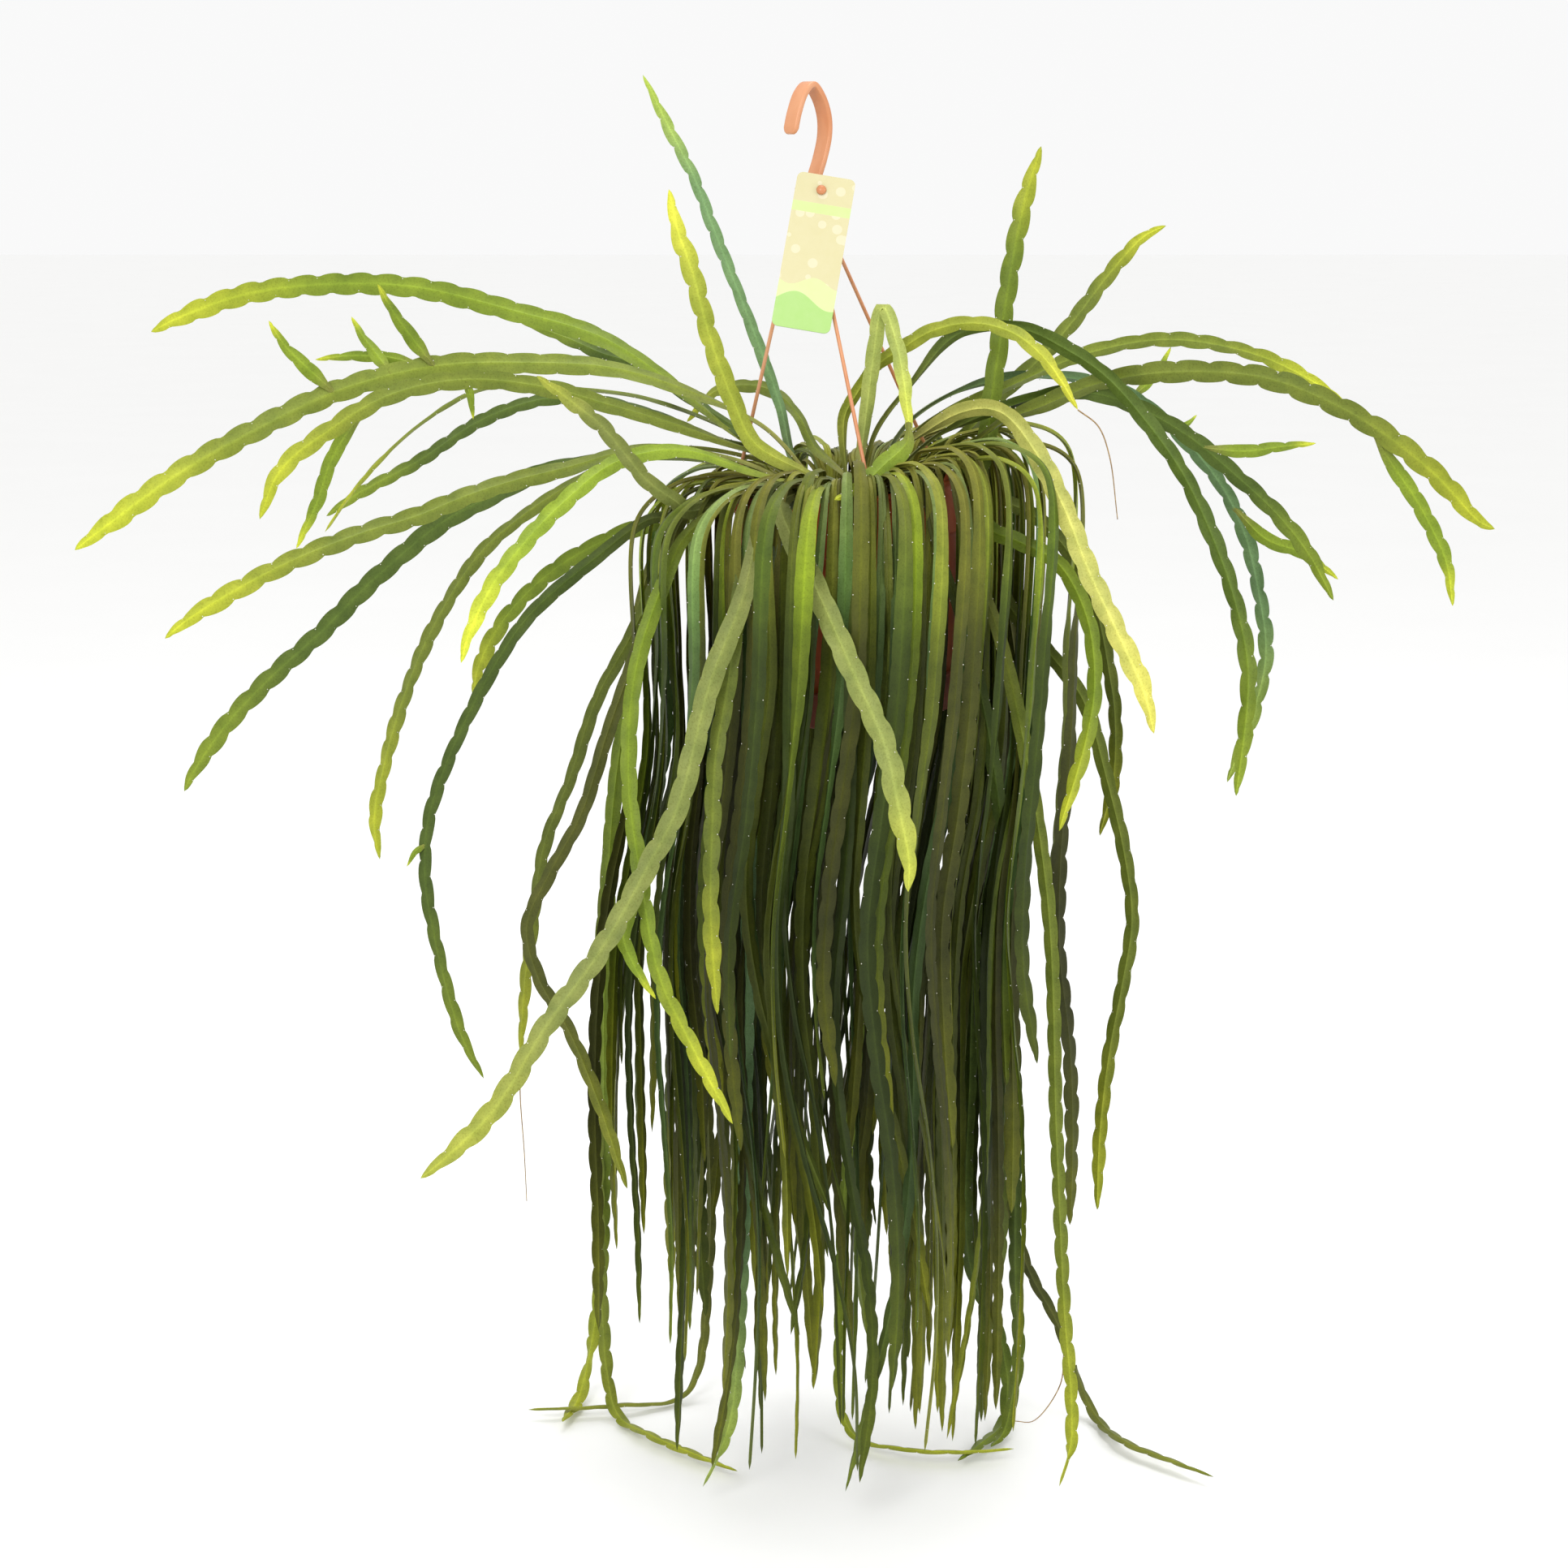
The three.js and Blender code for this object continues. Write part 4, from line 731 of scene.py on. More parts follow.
# %% Side shoots
SHOOTS = [
    {
      "on": "long_left", "from": [412, 480], "route": [[380, 455], [350, 425], [331, 395]],
      "deeper": -20, "width": 9,
    },
    {
      "on": "long_left", "from": [534, 449], "route": [[510, 420], [485, 385], [465, 350]],
      "deeper": -15, "width": 9,
    },
    {
      "on": "long_left", "from": [482, 462], "route": [[462, 435], [445, 412], [433, 390]],
      "deeper": 20, "width": 8.5,
    },
    {
      "on": "long_left", "from": [525, 453], "route": [[480, 441], [430, 439], [388, 443]],
      "deeper": 30, "width": 7,
    },
    {
      "on": "mid_left", "from": [576, 469], "route": [[580, 490], [583, 517]],
      "deeper": 8, "width": 7.5,
    },
    {
      "on": "mid_left", "from": [452, 504], "route": [[420, 545], [404, 577], [392, 616], [365, 676]],
      "deeper": 30, "width": 8,
    },
    {
      "on": "thread_left", "from": [525, 1040], "route": [[512, 1050], [501, 1068]],
      "deeper": -6, "width": 7,
    },
    {
      "on": "folded", "from": [1118, 520], "route": [[1118, 545], [1090, 573], [1060, 600], [1028, 616]],
      "deeper": -55, "width": 12,
    },
    {
      "on": "green_right", "from": [1484, 552], "route": [[1534, 556], [1580, 550], [1622, 546]],
      "deeper": -10, "width": 8,
    },
    {
      "on": "green_right", "from": [1446, 526], "route": [[1460, 524], [1475, 511]],
      "deeper": 8, "width": 7,
    },
    {
      "on": "pale_arch_right", "from": [1396, 488], "route": [[1412, 474], [1430, 452], [1443, 427]],
      "deeper": 12, "width": 7,
    },
    {
      "on": "pale_arch_right", "from": [1520, 624], "route": [[1560, 664], [1607, 682], [1649, 714]],
      "deeper": -15, "width": 9,
    },
    {
      "on": "long_right", "from": [1690, 524], "route": [[1709, 562], [1749, 623], [1782, 693], [1790, 747]],
      "deeper": 10, "width": 9.5,
    },
    {
      "on": "front_green", "from": [778, 1100], "route": [[768, 1150], [782, 1190], [808, 1231]],
      "deeper": -14, "width": 8.5,
    },
]
print(len(SHOWN_STEMS), "stems of the crown,", len(RIM_STEMS), "over the rim,", len(SHOOTS), "shoots")

# %% [markdown]
# ## Finding each stem again
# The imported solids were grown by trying: a stem that would have cut into another one was moved a little. The same
# tries are listed here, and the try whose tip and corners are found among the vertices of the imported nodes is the
# one that stands. So each fine stem lies exactly where its coarse solid is.

# %% The tries of each stem
SHIFTS = (0, 1, -1, 2, -2, 3, -3, 4, -4, 5, -5)
RISES = (9, 14, 5)
RIM_LIFTS = (6, 10, 14)
FOUND_WITHIN = 0.15

corner_tree = KDTree(sum(len(node.data.vertices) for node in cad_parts.values()))
corner_nodes = []
for name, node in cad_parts.items():
    for vertex in node.data.vertices:
        corner_tree.insert(vertex.co / MM, len(corner_nodes))
        corner_nodes.append(name)
corner_tree.balance()


def node_at(point):
    """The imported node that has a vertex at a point, or None."""
    _, index, distance = corner_tree.find(point)
    return corner_nodes[index] if distance < FOUND_WITHIN else None


def stands(tries):
    """The try that stands, with its line, its node and the room for its width, or None."""
    best, best_share = None, 0.4
    for plan in tries:
        if node_at(plan["path"][-1]) is None:
            continue
        plan["line"] = Route(plan["path"])
        corners, shares, room = blade_rows(plan)
        hits = [name for name in map(node_at, corners) if name]
        share = len(hits) / len(corners)
        if share > best_share:
            plan.update(node=max(set(hits), key=hits.count), shares=shares, room=room)
            best, best_share = plan, share
    return best


def crown_tries(stem, stock):
    start, end = stem["deep"]
    crown = stem["route"][1:]
    shares = picture_shares(crown)
    for height in RISES:
        for shift in SHIFTS:
            depths = mix(start + 5 * shift, end + 14 * shift, smooth(shares, -0.02, 1.1))
            placed = [seen_at(pixel, depth) for pixel, depth in zip(crown, depths)]
            rise = mix(stock_top(stock, height), placed[0], 0.12)
            path = [stock_top(stock, -1.5), mix(stock_top(stock, 0), rise, 0.4), rise, *placed]
            step, growth = (stem["step"], 0) if "step" in stem else (30, 0.3)
            yield dict(path=path, step=step, growth=growth, width=stem["width"], base=4, face=facing(stem["turn"]))


def over_rim(radius, azimuth, height):
    """A point at a height above the tilted rim, round the pot's middle."""
    x, y = around(radius, azimuth)
    level = hung([0, 0, RIM])[2] + math.tan(HANG_TILT) * x
    return np.array([soil_centre[0] + x, y, level + height])


def rim_tries(stem, stock, azimuth):
    start, end = stem["deep"]
    side = -1 if math.cos(math.radians(azimuth)) < 0 else 1
    shares = picture_shares(stem["route"])
    for lift in RIM_LIFTS:
        for shift in SHIFTS:
            depths = mix(start, end + 12 * shift, shares)
            placed = [seen_at(pixel, depth) for pixel, depth in zip(stem["route"], depths)]
            placed += [seen_on_floor(pixel, 2 + abs(shift)) for pixel in stem.get("floor", ())]
            over = azimuth + 0.8 * shift
            if not stem.get("rises"):
                placed.insert(0, over_rim(80, over, lift + 3))
            path = [stock_top(stock, -1.5), over_rim(66, over, lift), *placed]
            step = 34 if "floor" in stem else 30
            face = facing(stem.get("turn", (70, 20)), side)
            yield dict(path=path, step=step, growth=0.3, width=stem["width"], base=4, face=face)


def shoot_tries(shoot, parent):
    line = parent["line"].at(np.linspace(0, 1, 301))
    aim = unit(sight(shoot["from"]))
    near = line[np.argmin(np.linalg.norm(np.cross(line - eye, aim), axis=1))]
    shares = picture_shares([shoot["from"], *shoot["route"]])[1:]
    for shift in SHIFTS:
        depths = near[1] + shares * (shoot["deeper"] + 8 * shift)
        placed = [seen_at(pixel, depth) for pixel, depth in zip(shoot["route"], depths)]
        yield dict(path=[near, *placed], step=18, growth=0, width=shoot["width"], base=3.5, face=facing((10, 10)))


stems = {}
stock_nodes = {}


def plant_stem(name, stock, tries, **looks):
    plan = stands(tries)
    if plan is None:
        return
    plan.update(looks, stock=stock)
    stems[name] = plan
    stock_nodes.setdefault(stock, plan["node"])


for name, stem in SHOWN_STEMS.items():
    start = stem["deep"][0]
    partner = stems.get(stem.get("beside"))
    stock = partner["stock"] if partner else nearest_stock(seen_at(stem["route"][1], start))
    plant_stem(name, stock, crown_tries(stem, stock), kind="crown")

for name, stem in RIM_STEMS.items():
    first = seen_at(stem["route"][0], stem["deep"][0])
    azimuth = math.degrees(math.atan2(first[0] - soil_centre[0], -first[1]))
    clump = int((azimuth - STRAND_AZIMUTHS[0]) % 360 / SECTOR)
    plant_stem(name, clump_stocks[clump], rim_tries(stem, clump_stocks[clump], azimuth), kind="rim")

for number, shoot in enumerate(SHOOTS):
    if shoot["on"] in stems:
        parent = stems[shoot["on"]]
        plant_stem(f"shoot_{number}", parent["stock"], shoot_tries(shoot, parent), kind="shoot")
print("stems of crown and rim and shoots found:", len(stems), "of", len(SHOWN_STEMS) + len(RIM_STEMS) + len(SHOOTS))

# %% [markdown]
# ## The curtain
# Each clump of the ring sends its stems over the rim. They hang at several distances from the pot's middle, so the
# curtain is deep, and end at many heights. A seeded draw gives each one its length, wave, twist and width, and the
# draws are made in the order in which the solids were grown.

# %% The curtain's stems
STEMS_PER_CLUMP = 5
CLUMP_LIFT = 2.4
CURTAIN_TRIES = 10
INNER_HANG = 92
OUTER_HANG = 150
HANG_START = -292


class Dice:
    """Seeded draws from 0 to 1."""

    def __init__(self, seed):
        self.state = seed

    def draw(self):
        self.state = self.state * 16807 % 2147483647
        return self.state / 2147483647

    def between(self, low, high):
        return mix(low, high, self.draw())


def hanging(radius, azimuth, height):
    """A point of a hanging stem. Below the pot the inner stems close in and the outer ones stand off."""
    spread = 0.72 * smooth(-height, 420, 680)
    swirl = 5 * math.sin((height + 300) / 95) * smooth(-height, 300, 420)
    x, y = around(radius + (radius - 118) * spread, azimuth + swirl)
    middle = mix(soil_centre[0] - 16, soil_centre[0], smooth(height, -560, -410))
    return np.array([middle + x, y, height])


def hanging_path(stock, slot, ring, radius, tip, wave, lift, drift=0):
    path = [stock_top(stock, -1.5), over_rim(66, slot, 5 + lift), over_rim(79, slot, 8 + lift)]
    path.append(over_rim(mix(79, radius, 0.55), slot, 5 + 4 * ring + lift))
    path.append(over_rim(radius - 2, slot, -10 + lift))
    steps = int((HANG_START - tip) / 70 + 0.5)
    for i in range(1, steps + 1):
        azimuth = slot + wave * math.sin(i * 1.3 + 5 * ring) + drift * (i / steps) ** 2
        path.append(hanging(radius, azimuth, mix(HANG_START, tip, i / steps)))
    return path


def curtain_plan(stock, slot, ring, draws):
    tip_draw, wave_draw, twist_draw, width_draw, lift = draws
    radius = mix(INNER_HANG, OUTER_HANG, ring)
    tip = -590 - 310 * tip_draw**0.8
    path = hanging_path(stock, slot, ring, radius, tip, 1.6 * (wave_draw - 0.5), lift)
    face = twisting(150 * (twist_draw - 0.5))
    return dict(path=path, step=112, growth=0.62, width=mix(8.5, 12, width_draw), base=4.2, face=face)


dice = Dice(20)
for k, stock in enumerate(clump_stocks):
    for j in range(STEMS_PER_CLUMP):
        slot = STRAND_AZIMUTHS[0] + SECTOR * (k + 0.5 + 0.2 * (j - (STEMS_PER_CLUMP - 1) / 2))
        ring = (2 * j + 3 * k) % STEMS_PER_CLUMP
        tries = []
        for t in range(CURTAIN_TRIES):
            lift = CLUMP_LIFT * (2 * j % STEMS_PER_CLUMP) + 1.5 * t
            draws = [dice.draw() for _ in range(4)] + [lift]
            shift = SECTOR * 0.05 * (dice.draw() - 0.5) * t
            share = ((ring + t) % STEMS_PER_CLUMP + dice.draw()) / STEMS_PER_CLUMP
            tries.append(curtain_plan(stock, slot + shift, share, draws))
        plant_stem(f"curtain_{k}_{j}", stock, tries, kind="curtain")
print("stems in all:", len(stems))
unfound = set(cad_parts) - {plan["node"] for plan in stems.values()}
print("nodes without a stem:", sorted(unfound))

# %% [markdown]
# ## Thin stems between
# The curtain is dense just below the rim and opens towards its tips. Thinner stems, drawn with their own seed, fill
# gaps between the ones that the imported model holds. A narrow sector at the pot's left side has none of them. Azimuths
# count from the front towards the right, in degrees.

# %% Thin stems
THIN_STEMS = 118
THIN_FREE_SECTOR = (268, 296)
THIN_SHORTEST_TIP = -640
THIN_TIP_SPAN = 262
THIN_RADII = (82, 122)
THIN_WAVE = 3.2
THIN_DRIFT = 34
THIN_TWIST = 130
THIN_WIDTHS = (5, 9)
THIN_BASE = 3.4
UNPINCHED = 99.0
thin_dice = Dice(77)
for number in range(THIN_STEMS):
    slot = number * GOLDEN_ANGLE % 360
    if THIN_FREE_SECTOR[0] < slot < THIN_FREE_SECTOR[1]:
        continue
    clump = int((slot - STRAND_AZIMUTHS[0]) % 360 / SECTOR)
    stock = clump_stocks[clump]
    ring = thin_dice.draw()
    tip = THIN_SHORTEST_TIP - THIN_TIP_SPAN * thin_dice.draw() ** 0.5
    wave, drift = thin_dice.between(-THIN_WAVE, THIN_WAVE), thin_dice.between(-THIN_DRIFT, THIN_DRIFT)
    path = hanging_path(stock, slot, ring, mix(*THIN_RADII, ring), tip, wave, 4 + 6 * thin_dice.draw(), drift)
    face = twisting(thin_dice.between(-THIN_TWIST, THIN_TWIST))
    plan = dict(path=path, width=thin_dice.between(*THIN_WIDTHS), base=THIN_BASE, face=face, line=Route(path))
    plan.update(node=stock_nodes[stock], stock=stock, kind="thin")
    plan.update(shares=np.array([0.0, 1.0]), room=np.full(2, UNPINCHED))
    stems[f"thin_{number}"] = plan
print("with the thin ones:", len(stems))

# %% [markdown]
# ## Colours of the stems
# Old parts are grey olive, full-grown parts green, and the last third turns yellow-green, most of all in young
# shoots. A palette has the colour of the foot, the middle and the tip. Light and shade are painted in as well: each
# kind of stem gets a painted brightness, above one for the crown and the shoots and well under one for the curtain's
# dark inside, however they are lit.

# %% Palettes
PALETTES = {
    "green": ((124, 122, 66), (108, 120, 42), (170, 176, 46)),
    "dark": ((102, 104, 52), (76, 94, 34), (120, 136, 40)),
    "fresh": ((126, 130, 62), (122, 142, 40), (188, 194, 54)),
    "pale": ((138, 138, 88), (146, 156, 82), (192, 198, 78)),
    "cream": ((150, 146, 96), (188, 188, 100), (216, 210, 96)),
    "yellow": ((128, 130, 66), (152, 160, 58), (198, 198, 66)),
    "blue": ((120, 128, 94), (98, 128, 84), (148, 166, 68)),
    "olive": ((98, 94, 46), (88, 92, 36), (138, 144, 44)),
}
NAMED_PALETTES = {
    "high_left": "fresh", "high_left_twin": "dark", "long_left": "green", "mid_left": "green",
    "under_left": "dark", "thin_left": "green", "low_left": "green", "dark_left": "dark", "bow_left": "green",
    "short_left": "fresh", "top_left": "blue", "upright_left": "yellow", "behind_left": "green",
    "raised_right": "green", "yellow_right": "yellow", "arch_right": "dark", "pale_arch_right": "blue",
    "long_right": "green", "upper_right": "green", "green_right": "dark", "cream_right": "cream",
    "stub_right": "yellow", "folded": "pale", "front_pale": "pale", "front_cross": "pale",
    "front_green": "fresh", "front_inner": "green", "pale_left": "pale", "edge_left": "green",
    "knee_left": "olive", "short_left_low": "fresh", "thread_left": "dark", "upright_right": "fresh",
    "drop_right": "green", "green_drop_right": "fresh", "long_drop_right": "green",
}
CURTAIN_PALETTES = ("olive", "green", "dark", "olive", "fresh", "green", "blue", "dark")
# Painted light and shade: a brightness for each kind of stem, above one in the crown and the shoots, well under one in
# the curtain.
PAINTED_LIGHT_BY_KIND = {"crown": 1.25, "shoot": 1.2, "rim": 0.88, "curtain": 0.55, "thin": 0.48}
paint_dice = Dice(5)
for number, (name, plan) in enumerate(stems.items()):
    chosen = "fresh" if plan["kind"] == "shoot" else CURTAIN_PALETTES[number * 5 % len(CURTAIN_PALETTES)]
    plan["palette"] = PALETTES[NAMED_PALETTES.get(name, chosen)]
    # The stem's painted light and shade, with a little random spread.
    plan["shade"] = PAINTED_LIGHT_BY_KIND[plan["kind"]] * paint_dice.between(0.8, 1.15)
print("palettes:", ", ".join(PALETTES))

# %% [markdown]
# ## A fine stem
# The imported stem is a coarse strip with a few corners. The fine one has a section of twelve points: thin margins,
# a swollen midrib, and wings that fall away from it. The margins are cut into rounded lobes, which lie in turn on
# the left and on the right. The notches carry areoles, cushions with a tiny white tuft. In the curtain only every
# second one is made, and thin stems have none.

# %% The blade's mesh
SECTION = np.array([-1, -0.66, -0.2, 0, 0.2, 0.66, 1, 0.66, 0.2, 0, -0.2, -0.66])
SECTION_SIDE = np.array([0, 1, 1, 1, 1, 1, 0, -1, -1, -1, -1, -1])
SECTION_THICK = np.array([0.05, 0.34, 0.42, 1, 0.42, 0.34, 0.05, 0.34, 0.42, 1, 0.42, 0.34])
LOBE = 24
STATIONS_PER_LOBE = {"crown": 8, "rim": 8, "shoot": 8, "curtain": 6, "thin": 4}
TUFT_SIZE = 0.44
MARGIN_ANGLE = math.radians(50)
# Painted light and shade of the curtain by height: painted light where it comes over the rim under the open sky,
# painted shade from under the pot to mid height, eased towards the tips, and a blue cut throughout against the sky's
# sheen.
OPEN_SKY = (-350, -280)
SHADED_FROM = (400, 520)
SHADED_UNTIL = (640, 800)
SHADED_LOSS = 0.34
SHADED_RETURN = 0.2
SKY_GAIN = 2.5
CURTAIN_SHADE_TINT = np.array([1, 1, 0.6])
BLADE_FULLNESS = 1.12
ROOM_STRETCH = 1.2
WIDEST_ROOM = 99
LOBE_DEPTHS = (0.05, 0.44)
YOUNG_LOBE = 0.8
TIP_TAPER = 9
TIP_THINNING = 6
FLANK_LIGHT = 0.88
RIB_LIGHT = 0.42


class Shape:
    """Vertices, faces and colours, gathered until they are made into one piece."""

    def __init__(self):
        self.points, self.faces, self.colours = [], [], []
        self.count = 0

    def add(self, points, faces, colours):
        self.faces.extend([[self.count + corner for corner in face] for face in faces])
        self.points.append(points)
        self.colours.append(colours)
        self.count += len(points)


def tube_faces(rings, sides):
    """Quads between rings of points, a cap on the first ring, and a fan to a last single point."""
    faces = [list(range(sides - 1, -1, -1))]
    for ring in range(rings - 1):
        for side in range(sides):
            low, after = ring * sides + side, ring * sides + (side + 1) % sides
            faces.append([low, after, after + sides, low + sides])
    last, tip = (rings - 1) * sides, rings * sides
    faces += [[last + side, last + (side + 1) % sides, tip] for side in range(sides)]
    return faces


def lobes(phase, depth):
    """How full the margin is at each phase of its lobes: 1 in the middle of a lobe, less in a notch."""
    share = np.mod(phase, 1)
    return 1 - depth * (1 - np.sqrt(np.abs(np.sin(math.pi * share**0.8))))


def stem_paint(plan, shares, rib):
    """The colour at each point of a stem: foot, middle and tip of its palette, and a lighter midrib.

    The curtain's stems also carry painted light over the rim and painted shade below it, and this painted shade takes
    out some blue throughout.
    """
    foot, middle, tip = (np.array(linear(*colour)[:3]) for colour in plan["palette"])
    grown = smooth(shares, 0.02, 0.3)[:, None]
    young = smooth(shares, 0.72, 1)[:, None]
    # The palette times the painted light and shade of the stem's kind.
    colours = mix(mix(foot, middle, grown), tip, young)[:, None, :] * plan["shade"]
    # Painted light over the rim and painted shade below it, by height.
    if plan["kind"] in ("curtain", "thin"):
        heights = plan["line"].along(shares)[0][:, 2]
        open_sky = smooth(heights, *OPEN_SKY)
        shaded = 1 - SHADED_LOSS * smooth(-heights, *SHADED_FROM) + SHADED_RETURN * smooth(-heights, *SHADED_UNTIL)
        colours = colours * mix(shaded, SKY_GAIN, open_sky)[:, None, None] * CURTAIN_SHADE_TINT
    light = FLANK_LIGHT + RIB_LIGHT * rib**5
    return np.clip(colours * light[None, :, None], 0, 1)


def add_blade(shape, plan, seed):
    draws = Dice(seed * 131 + 7)
    line, kind = plan["line"], plan["kind"]
    lobe = LOBE * draws.between(0.86, 1.12) * (YOUNG_LOBE if kind == "shoot" else 1)
    phase = draws.draw()
    stations = max(8, int(line.length / lobe * STATIONS_PER_LOBE[kind]))
    shares = np.linspace(0, 1, stations + 1)[:-1]
    left = line.length * (1 - shares)
    at, along = line.along(shares)
    across = plan["face"](shares, at, along)
    out = unit(np.cross(across, along))
    half = half_width(shares * line.length, line.length, plan["width"], plan["base"]) * BLADE_FULLNESS
    room = np.interp(shares, plan["shares"], np.minimum(plan["room"], WIDEST_ROOM))
    half = np.minimum(half, room * ROOM_STRETCH)
    half *= np.sqrt(np.clip(left / TIP_TAPER, 0.02, 1))
    depth = mix(*LOBE_DEPTHS, smooth(shares, 0.1, 0.85))
    turns = shares * line.length / lobe + phase
    fullness = {-1: lobes(turns, depth), 1: lobes(turns + 0.5, depth)}
    thick = BLADE_THICKNESS / 2 * mix(1.1, 0.75, shares) * np.clip(left / TIP_THINNING, 0.2, 1)
    curl = draws.between(-0.16, 0.16) * half * np.sin(turns * 1.7)
    rows = []
    for reach, side, share in zip(SECTION, SECTION_SIDE, SECTION_THICK):
        wide = half * fullness[1 if reach > 0 else -1] if abs(reach) > 0.5 else half
        lifted = side * share * thick + curl * reach * abs(reach)
        rows.append(at + across * (wide * reach)[:, None] + out * lifted[:, None])
    points = np.stack(rows, axis=1).reshape(-1, 3)
    rib = 1 - np.abs(SECTION)
    paint = stem_paint(plan, shares, rib).reshape(-1, 3)
    tip = line.along([1])[0]
    points = np.concatenate([points, tip])
    paint = np.concatenate([paint, paint[-1:]])
    shape.add(points, tube_faces(stations, len(SECTION)), paint)
    areoles = []
    for side, offset in ((-1, 0), (1, 0.5)):
        for whole in range(1, int(turns[-1] + offset) + 1):
            share = (whole - offset - phase) * lobe / line.length
            if 0.04 < share < 0.985:
                areoles.append((share, side))
    return areoles, (shares, at, across, half * (1 - depth))


def add_tufts(shape, areoles, edges, size):
    """A small white cushion, an octahedron, in each of the notches given."""
    shares, at, across, notch = edges
    for share, side in areoles:
        middle = np.array([np.interp(share, shares, at[:, axis]) for axis in range(3)])
        aside = unit(np.array([np.interp(share, shares, across[:, axis]) for axis in range(3)]))
        centre = middle + aside * side * (np.interp(share, shares, notch) + 0.1)
        tips = np.array([[1, 0, 0], [-1, 0, 0], [0, 1, 0], [0, -1, 0], [0, 0, 1], [0, 0, -1]]) * size
        faces = [[0, 2, 4], [2, 1, 4], [1, 3, 4], [3, 0, 4], [2, 0, 5], [1, 2, 5], [3, 1, 5], [0, 3, 5]]
        shape.add(centre + tips, faces, np.full((6, 3), 0.8))


def make_piece(name, shape, materials, node=None, smooth_faces=True):
    """Makes one piece of the gathered points, rides it on the plant and hides the imported node that it stands for, if
    any.
    """
    mesh = bpy.data.meshes.new(name)
    points = np.concatenate(shape.points) * MM
    mesh.from_pydata(points.tolist(), [], shape.faces)
    colours = np.concatenate(shape.colours)
    layer = mesh.color_attributes.new("paint", "FLOAT_COLOR", "POINT")
    layer.data.foreach_set("color", np.column_stack([colours, np.ones(len(colours))]).astype(np.float32).ravel())
    mesh.polygons.foreach_set("use_smooth", [smooth_faces] * len(mesh.polygons))
    mesh.materials.append(materials)
    mesh.update()
    if name.endswith("_stems"):
        mesh.set_sharp_from_angle(angle=MARGIN_ANGLE)
    piece = bpy.data.objects.new(name, mesh)
    bpy.context.scene.collection.objects.link(piece)
    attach(piece, "root")
    if node:
        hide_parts(node)
    return piece


print("a blade's section has", len(SECTION), "points")

# %% [markdown]
# ## Skin, tufts and stocks
# The skin is green with soft mottling and small darker specks. The palette, with the stems' painted light and shade,
# comes with each vertex, and noise breaks it up. The tufts are matt white wool, and the stocks brown cork.

# %% Finishes of the plant
skin = Finish("waxy green skin")
# The paint attribute holds each stem's palette with its painted light and shade.
paint = skin.node("Attribute", {"attribute_name": "paint"}, output="Color")
mottle = skin.ramp(skin.noise(70, 4, 0.6), [(0.3, (0.74, 0.78, 0.7, 1)), (0.7, (1.12, 1.1, 1.06, 1))])
specks = skin.ramp(skin.noise(900, 2, 0.6), [(0.33, (0.8, 0.78, 0.7, 1)), (0.5, (1, 1, 1, 1))])
mottled = skin.tint(1.0, skin.tint(1.0, paint, mottle, "MULTIPLY"), specks, "MULTIPLY")
grain = skin.noise(500, 3)
skin_roughness = skin.spread(skin.noise(120, 2), 0.42, 0.64)
skin_bump = skin.bump(grain, 0.0004, 0.35)
stem_skin = skin.show(Base_Color=mottled, Roughness=skin_roughness, Normal=skin_bump, Specular_IOR_Level=0.22)

wool = Finish("white wool")
wool_colour = wool.ramp(wool.noise(2500, 2), [(0.3, linear(206, 200, 178)), (0.7, linear(244, 242, 232))])
tuft_wool = wool.show(Base_Color=wool_colour, Roughness=0.95)

cork = Finish("cork of the stocks")
cork_colour = cork.ramp(cork.noise(350, 5), [(0.3, linear(72, 62, 40)), (0.7, linear(134, 124, 86))])
cork_bump = cork.bump(cork.noise(600, 4), 0.0008, 0.6)
stock_cork = cork.show(Base_Color=cork_colour, Roughness=0.85, Normal=cork_bump)
print("finishes:", stem_skin.name, tuft_wool.name, stock_cork.name)

# %% [markdown]
# ## Growing the plant
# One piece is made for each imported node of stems, with the fine stems whose solids it holds and the thin ones from
# the same stock. One more piece holds all the tufts, and another all the stocks.

# %% Stems, tufts and stocks
tuft_shape = Shape()
blade_shapes = {}
for seed, (name, plan) in enumerate(stems.items()):
    shape = blade_shapes.setdefault(plan["node"], Shape())
    areoles, edges = add_blade(shape, plan, seed + 1)
    if plan["kind"] != "thin":
        add_tufts(tuft_shape, areoles[::2] if plan["kind"] == "curtain" else areoles, edges, TUFT_SIZE)
for node, shape in blade_shapes.items():
    make_piece(f"{node}_stems", shape, stem_skin, node)
make_piece("areole_tufts", tuft_shape, tuft_wool, None)
print("stem pieces:", len(blade_shapes), "with", sum(len(s.faces) for s in blade_shapes.values()), "faces, tufts:",
      len(tuft_shape.faces) // 8)

stock_shape = Shape()
for stock in stock_nodes:
    radius = 3.1 if stock in crown_stocks else 4.2
    draws = Dice(int(1000 + 10 * stock[0] + stock[1]))
    levels = [(0.9, -10), (1.0, -2), (1.08, 0.5), (0.96, 2), (0.9, STOCK_RISE), (0.62, STOCK_RISE + 1.4)]
    rings = [
        [(radius * wide * draws.between(0.92, 1.06) * math.cos(math.tau * s / 10) + stock[0],
          radius * wide * draws.between(0.92, 1.06) * math.sin(math.tau * s / 10) + stock[1], SOIL + height)
         for s in range(10)]
        for wide, height in levels
    ]
    points = hung(np.array(rings).reshape(-1, 3).tolist() + [[stock[0], stock[1], SOIL + STOCK_RISE + 1.8]])
    stock_shape.add(points, tube_faces(len(levels), 10), np.full((len(points), 3), 0.3))
make_piece("stem_stocks", stock_shape, stock_cork, None)

# %% [markdown]
# ## Pot and saucer
# Both are thin-walled mouldings, turned shapes apart from the three lugs that the hanger clips into. A profile of
# radius and height pairs, turned in 96 steps, gives walls, rounded lips and the step below the rim band.

# %% Turned mouldings
TURNS = 96


